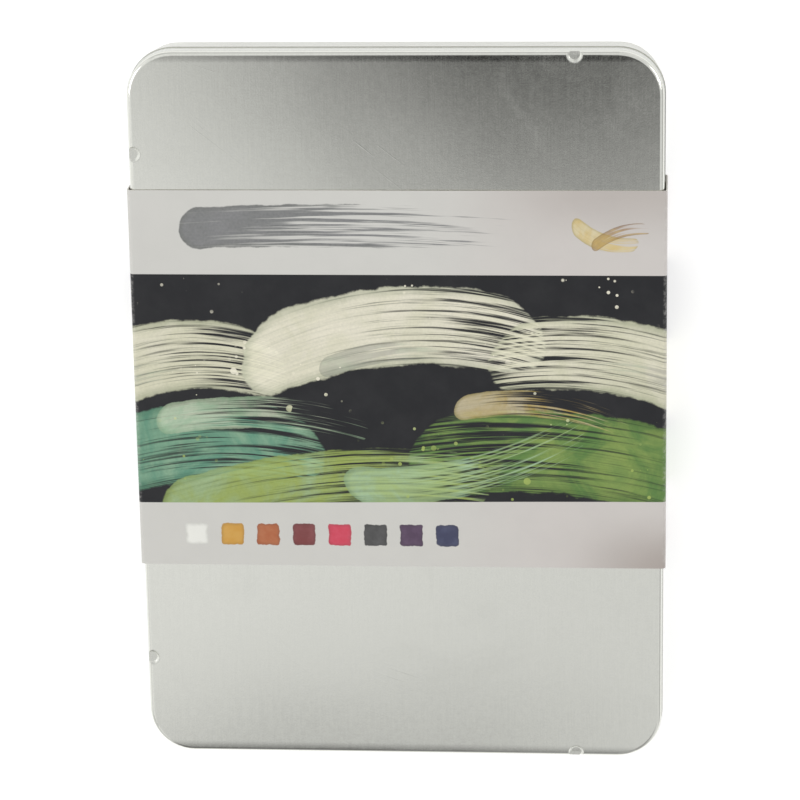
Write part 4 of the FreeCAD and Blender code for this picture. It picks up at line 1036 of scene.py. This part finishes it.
class DRAWINGSET_OT_pencils(bpy.types.Operator):
    """Makes the pencil casings and finishes their cores"""
    bl_idname = "drawing_set.pencils"
    bl_label = "Pencils"

    def execute(self, context):
        settings = context.scene.drawing_set_pencils
        wood = grained_wood("bare_cedar", (0.80, 0.58, 0.38), (0.62, 0.40, 0.24), roughness=0.65, coat=0.0)
        for number in NUMBERS:
            pencil, dip = f"pencil_{number}", COLOURS[f"lead_{number}"]
            low, high = node_box(pencil + "_barrel")
            rings, spans = pencil_rings(low, high, node_box(pencil + "_lead")[1][1], settings)
            points, faces = closed_skin(rings)
            around = rings.shape[1]
            bare = np.repeat(np.arange(len(rings) - 1), around) >= spans
            kinds = np.r_[bare, np.zeros(around), np.ones(around)]
            finishes = [pencil_lacquer(pencil + "_lacquer", dip, low[1], settings), wood]
            new_piece(pencil + "_casing", "base", "barrel_paint", pencil + "_barrel", points, faces, finishes, kinds)
            dress(pigment(pencil + "_core", dip, roughness=0.6), pencil + "_lead")
        return {"FINISHED"}


class DRAWINGSET_OT_paints(bpy.types.Operator):
    """Makes the cakes of paint and finishes their pans"""
    bl_idname = "drawing_set.paints"
    bl_label = "Paints"

    def execute(self, context):
        settings = context.scene.drawing_set_paints
        white = moulded_plastic("white_pan", (0.93, 0.93, 0.92), roughness=0.3)
        for number in NUMBERS:
            dress(white, f"paint_pan_{number}")
            box = node_box(f"paint_cake_{number}")
            rings = cake_rings(*box, settings.corner, settings.edge, settings.hollow, number)
            paint = pigment(f"dry_paint_{number}", COLOURS[f"cake_{number}"], roughness=0.75)
            new_piece(f"dry_cake_{number}", "base", f"cake_{number}", f"paint_cake_{number}",
                      *closed_skin(rings, flip=True), [paint])
        return {"FINISHED"}


class DRAWINGSET_OT_brush(bpy.types.Operator):
    """Makes the brush's hair and finishes its ferrule and handle"""
    bl_idname = "drawing_set.brush"
    bl_label = "Brush"

    def execute(self, context):
        settings = context.scene.drawing_set_brush
        skin = closed_skin(hair_rings(*node_box("brush_hair"), settings))
        new_piece("pointed_hair", "base", "brush_hair", "brush_hair", *skin, [brush_hair()])
        gold = metal("gold_ferrule", (0.86, 0.68, 0.34), roughness=0.22, scales=(60.0, 2200.0, 60.0))
        dress(gold, "brush_ferrule")
        dark = shade(settings.handle, 0.75)
        dress(grained_wood("green_lacquer", settings.handle, dark, roughness=0.25, coat=0.8), "brush_handle")
        return {"FINISHED"}


class DRAWINGSET_OT_tools(bpy.types.Operator):
    """Makes the eraser, its wrapper and the sandpaper, and finishes the sharpener and the paddle"""
    bl_idname = "drawing_set.tools"
    bl_label = "Tools"

    def execute(self, context):
        settings = context.scene.drawing_set_tools
        alloy = metal("milled_alloy", (0.80, 0.81, 0.82), roughness=0.34, scales=(2400.0, 80.0, 80.0))
        steel = metal("ground_steel", (0.62, 0.64, 0.67), roughness=0.2, scales=(70.0, 2600.0, 70.0))
        plating = metal("plated_screw", (0.78, 0.77, 0.74), roughness=0.25, scales=(900.0, 900.0, 900.0))
        wood = grained_wood("bare_beech", (0.74, 0.53, 0.33), (0.58, 0.38, 0.21), roughness=0.6, coat=0.0)
        wire = metal("staple_wire", (0.80, 0.80, 0.80), roughness=0.22, scales=(60.0, 2200.0, 2200.0))
        dress(alloy, "sharpener_body")
        dress(steel, "sharpener_blade")
        dress(plating, "sharpener_screw")
        dress(wood, "sanding_paddle")
        dress(wire, "pad_staple_outer", "pad_staple_inner")
        self.make_sandpaper(settings)
        self.make_eraser(settings)
        return {"FINISHED"}

    def make_sandpaper(self, settings):
        points, faces, kinds = sandpaper_sheets(*node_box("sandpaper_pad"), settings.sheets)
        backing = paper("sandpaper_backing", (0.66, 0.52, 0.36))
        finishes = [sandpaper_grit(), backing, backing]
        new_piece("sandpaper_sheets", "base", "sandpaper", "sandpaper_pad", points, faces, finishes, kinds)

    def make_eraser(self, settings):
        thick, corner = settings.wrapper, settings.putty_corner
        low, high = node_box("kneaded_eraser")
        low[2] += thick
        skin = closed_skin(putty_rings(low, high, corner, settings.dents))
        new_piece("putty_block", "base", "eraser_rubber", "kneaded_eraser", *skin, [rubber_putty()])
        low, high = node_box("eraser_wrapper")
        line = wrapping_line(low, high, thick, corner + thick / 2, seam=0.001, flap=0.004, joggle=0.001)
        x, y = line[:, :1], np.linspace(low[1], high[1], 36)
        # soft creases over the top, which die out towards its two folds
        half_width, crease_height = 0.0085, 0.00009
        creases = np.sin(x / 0.0031 + 0.8) * np.sin(y / 0.0047 + x / 0.006)
        fade = np.clip(1 - np.abs(x) / half_width, 0, 1) * on_top(line)[:, None]
        line = line + np.array([(low[0] + high[0]) / 2, 0])
        points, faces, kinds, uv = strip_shell(line, thick, y, crease_height * (1 + creases) * fade)
        plain = paper("wrapper_inside", (0.93, 0.93, 0.92))
        finishes = [lined_wrapper(), plain, plain]
        new_piece("eraser_paper", "base", "wrapper_paper", "eraser_wrapper", points, faces, finishes, kinds, uv)


class DRAWINGSET_OT_stage(bpy.types.Operator):
    """Sets the floor, the lights, the surroundings and the camera"""
    bl_idname = "drawing_set.stage"
    bl_label = "Stage"

    def execute(self, context):
        settings = context.scene.drawing_set_stage
        scene = context.scene
        scene.view_settings.view_transform = "Standard"
        self.make_world(scene, settings)
        self.make_floor(settings)
        for name, place, power in LAMPS:
            self.make_lamp(scene, name, place, power)
        self.make_camera(scene, settings)
        return {"FINISHED"}

    def make_world(self, scene, settings):
        """Pale surroundings, white at the horizon, with a dim patch overhead, a dim gap in front and three dim flags
        hung round about. A direction is read by how far across and ahead it goes for each step up."""
        world = bpy.data.worlds.new("studio")
        world.use_nodes = True
        n = Nodes(world.node_tree)
        x, y, z = n.split(n.vector("NORMALIZE", n.place("Generated")))
        height = n.most(z, 0.08)
        across, ahead = n.math("DIVIDE", x, height), n.math("DIVIDE", y, height)
        # the dim patch overhead, an oval that leans to one side, under walls that fall off to the right
        v = n.math("DIVIDE", n.plus(ahead, 0.128), 0.153)
        u = n.plus(n.math("DIVIDE", n.plus(across, 0.05), 0.138), n.times(v, 0.22))
        patch = n.vector("LENGTH", n.join(u, v, 0.0), out="Value")
        level = n.plus(n.rise(patch, 0.2, 1.3, settings.ceiling, settings.walls),
                       n.rise(across, -0.2, 0.04, 0.06, -0.06), n.rise(z, 0.9, 0.7, 0.0, 0.08))
        # the gap in front, in a near and a far part
        side = n.math("DIVIDE", across, n.most(n.math("ABSOLUTE", ahead), 0.3))
        left = n.rise(side, -0.575, -0.245)
        near = n.times(n.rise(ahead, -0.388, -0.415, 0.0, 0.34), left, n.rise(side, 0.015, -0.17))
        far = n.times(n.rise(ahead, -0.43, -0.55, 0.0, 0.45), left, n.rise(side, 0.8, 0.3))
        gap = n.times(n.plus(near, far), n.rise(ahead, -6.0, -2.5))
        # the flags, a third of a turn apart
        turn = n.math("COSINE", n.line(n.math("ARCTAN2", y, x), 3.0, 0.6))
        flags = n.times(n.rise(turn, -0.2, 0.9), n.between(z, 0.17, 0.68, 0.12), settings.flags)
        strength = n.most(n.minus(level, gap, flags), n.rise(z, 0.22, 0.1))
        n.fill(world.node_tree.nodes["Background"], {"Color": WHITE, "Strength": strength})
        scene.world = world

    def make_floor(self, settings):
        """A wide floor that shows white, with the object's shadow left on it."""
        n = Finish("white_floor")
        rays = n.add("LightPath").outputs
        seen = n.most(rays["Is Camera Ray"], rays["Is Glossy Ray"], rays["Is Transmission Ray"])
        paint = n.add("BsdfDiffuse", Color=settings.floor).outputs[0]
        glow = n.add("Emission", Color=WHITE, Strength=n.times(seen, settings.glow)).outputs[0]
        n.feed(n.tree.nodes["Material Output"], "Surface", n.operate("AddShader", {}, (paint, glow)))
        x, y = FLOOR_HALF * np.array([-1, 1, 1, -1]), FLOOR_HALF * np.array([-1, -1, 1, 1])
        corners = points3(x, y, FLOOR_HEIGHT)
        mesh_object("studio_floor", corners, [np.array([[0, 1, 2, 3]])], [n.material])

    def make_lamp(self, scene, name, place, power):
        """A soft square lamp that faces the middle of the part."""
        data = bpy.data.lights.new(name, "AREA")
        data.size = LAMP_SIZE
        data.energy = power
        lamp = bpy.data.objects.new(name, data)
        turn = (-Vector(place)).to_track_quat("-Z", "Y").to_matrix().to_4x4()
        lamp.matrix_world = Matrix.Translation(place) @ turn
        scene.collection.objects.link(lamp)

    def make_camera(self, scene, settings):
        """The photograph's viewpoint."""
        data = bpy.data.cameras.new("photo_camera")
        data.lens = settings.lens
        data.sensor_width = 36.0
        data.clip_end = 50.0
        camera = bpy.data.objects.new("photo_camera", data)
        back = -Vector(settings.look).normalized()
        right = Vector(settings.up).cross(back).normalized()
        up = back.cross(right)
        camera.matrix_world = Matrix.Translation(settings.camera) @ Matrix((right, up, back)).transposed().to_4x4()
        scene.collection.objects.link(camera)
        scene.camera = camera


class DRAWINGSET_PT_panel(bpy.types.Panel):
    """Lists the pieces of the set"""
    bl_idname = "DRAWINGSET_PT_panel"
    bl_label = "Drawing Set"
    bl_space_type = "VIEW_3D"
    bl_region_type = "UI"
    bl_category = "Drawing Set"

    def draw(self, context):
        for group in SETTINGS:
            column = self.layout.column(heading=group.replace("_", " ").title())
            settings = getattr(context.scene, group)
            for prop in settings.bl_rna.properties:
                if not prop.is_readonly and prop.identifier != "name":
                    column.prop(settings, prop.identifier)
        for operator in OPERATORS:
            self.layout.operator(operator.bl_idname)


SETTINGS = {
    "drawing_set_tin": TinSettings, "drawing_set_sleeve": SleeveSettings, "drawing_set_tray": TraySettings,
    "drawing_set_pencils": PencilSettings, "drawing_set_paints": PaintSettings, "drawing_set_brush": BrushSettings,
    "drawing_set_tools": ToolSettings, "drawing_set_stage": StageSettings,
}
OPERATORS = [DRAWINGSET_OT_tin, DRAWINGSET_OT_card_sleeve, DRAWINGSET_OT_tray, DRAWINGSET_OT_pencils,
             DRAWINGSET_OT_paints, DRAWINGSET_OT_brush, DRAWINGSET_OT_tools, DRAWINGSET_OT_stage]
CLASSES = list(SETTINGS.values()) + OPERATORS + [DRAWINGSET_PT_panel]


def register():
    for cls in CLASSES:
        bpy.utils.register_class(cls)
    for name, cls in SETTINGS.items():
        setattr(bpy.types.Scene, name, PointerProperty(type=cls))


def unregister():
    for name in SETTINGS:
        delattr(bpy.types.Scene, name)
    for cls in reversed(CLASSES):
        bpy.utils.unregister_class(cls)


def main():
    register()
    make_groups()
    for operator in OPERATORS:
        family, name = operator.bl_idname.split(".")
        getattr(getattr(bpy.ops, family), name)()


if __name__ == "__main__":
    main()
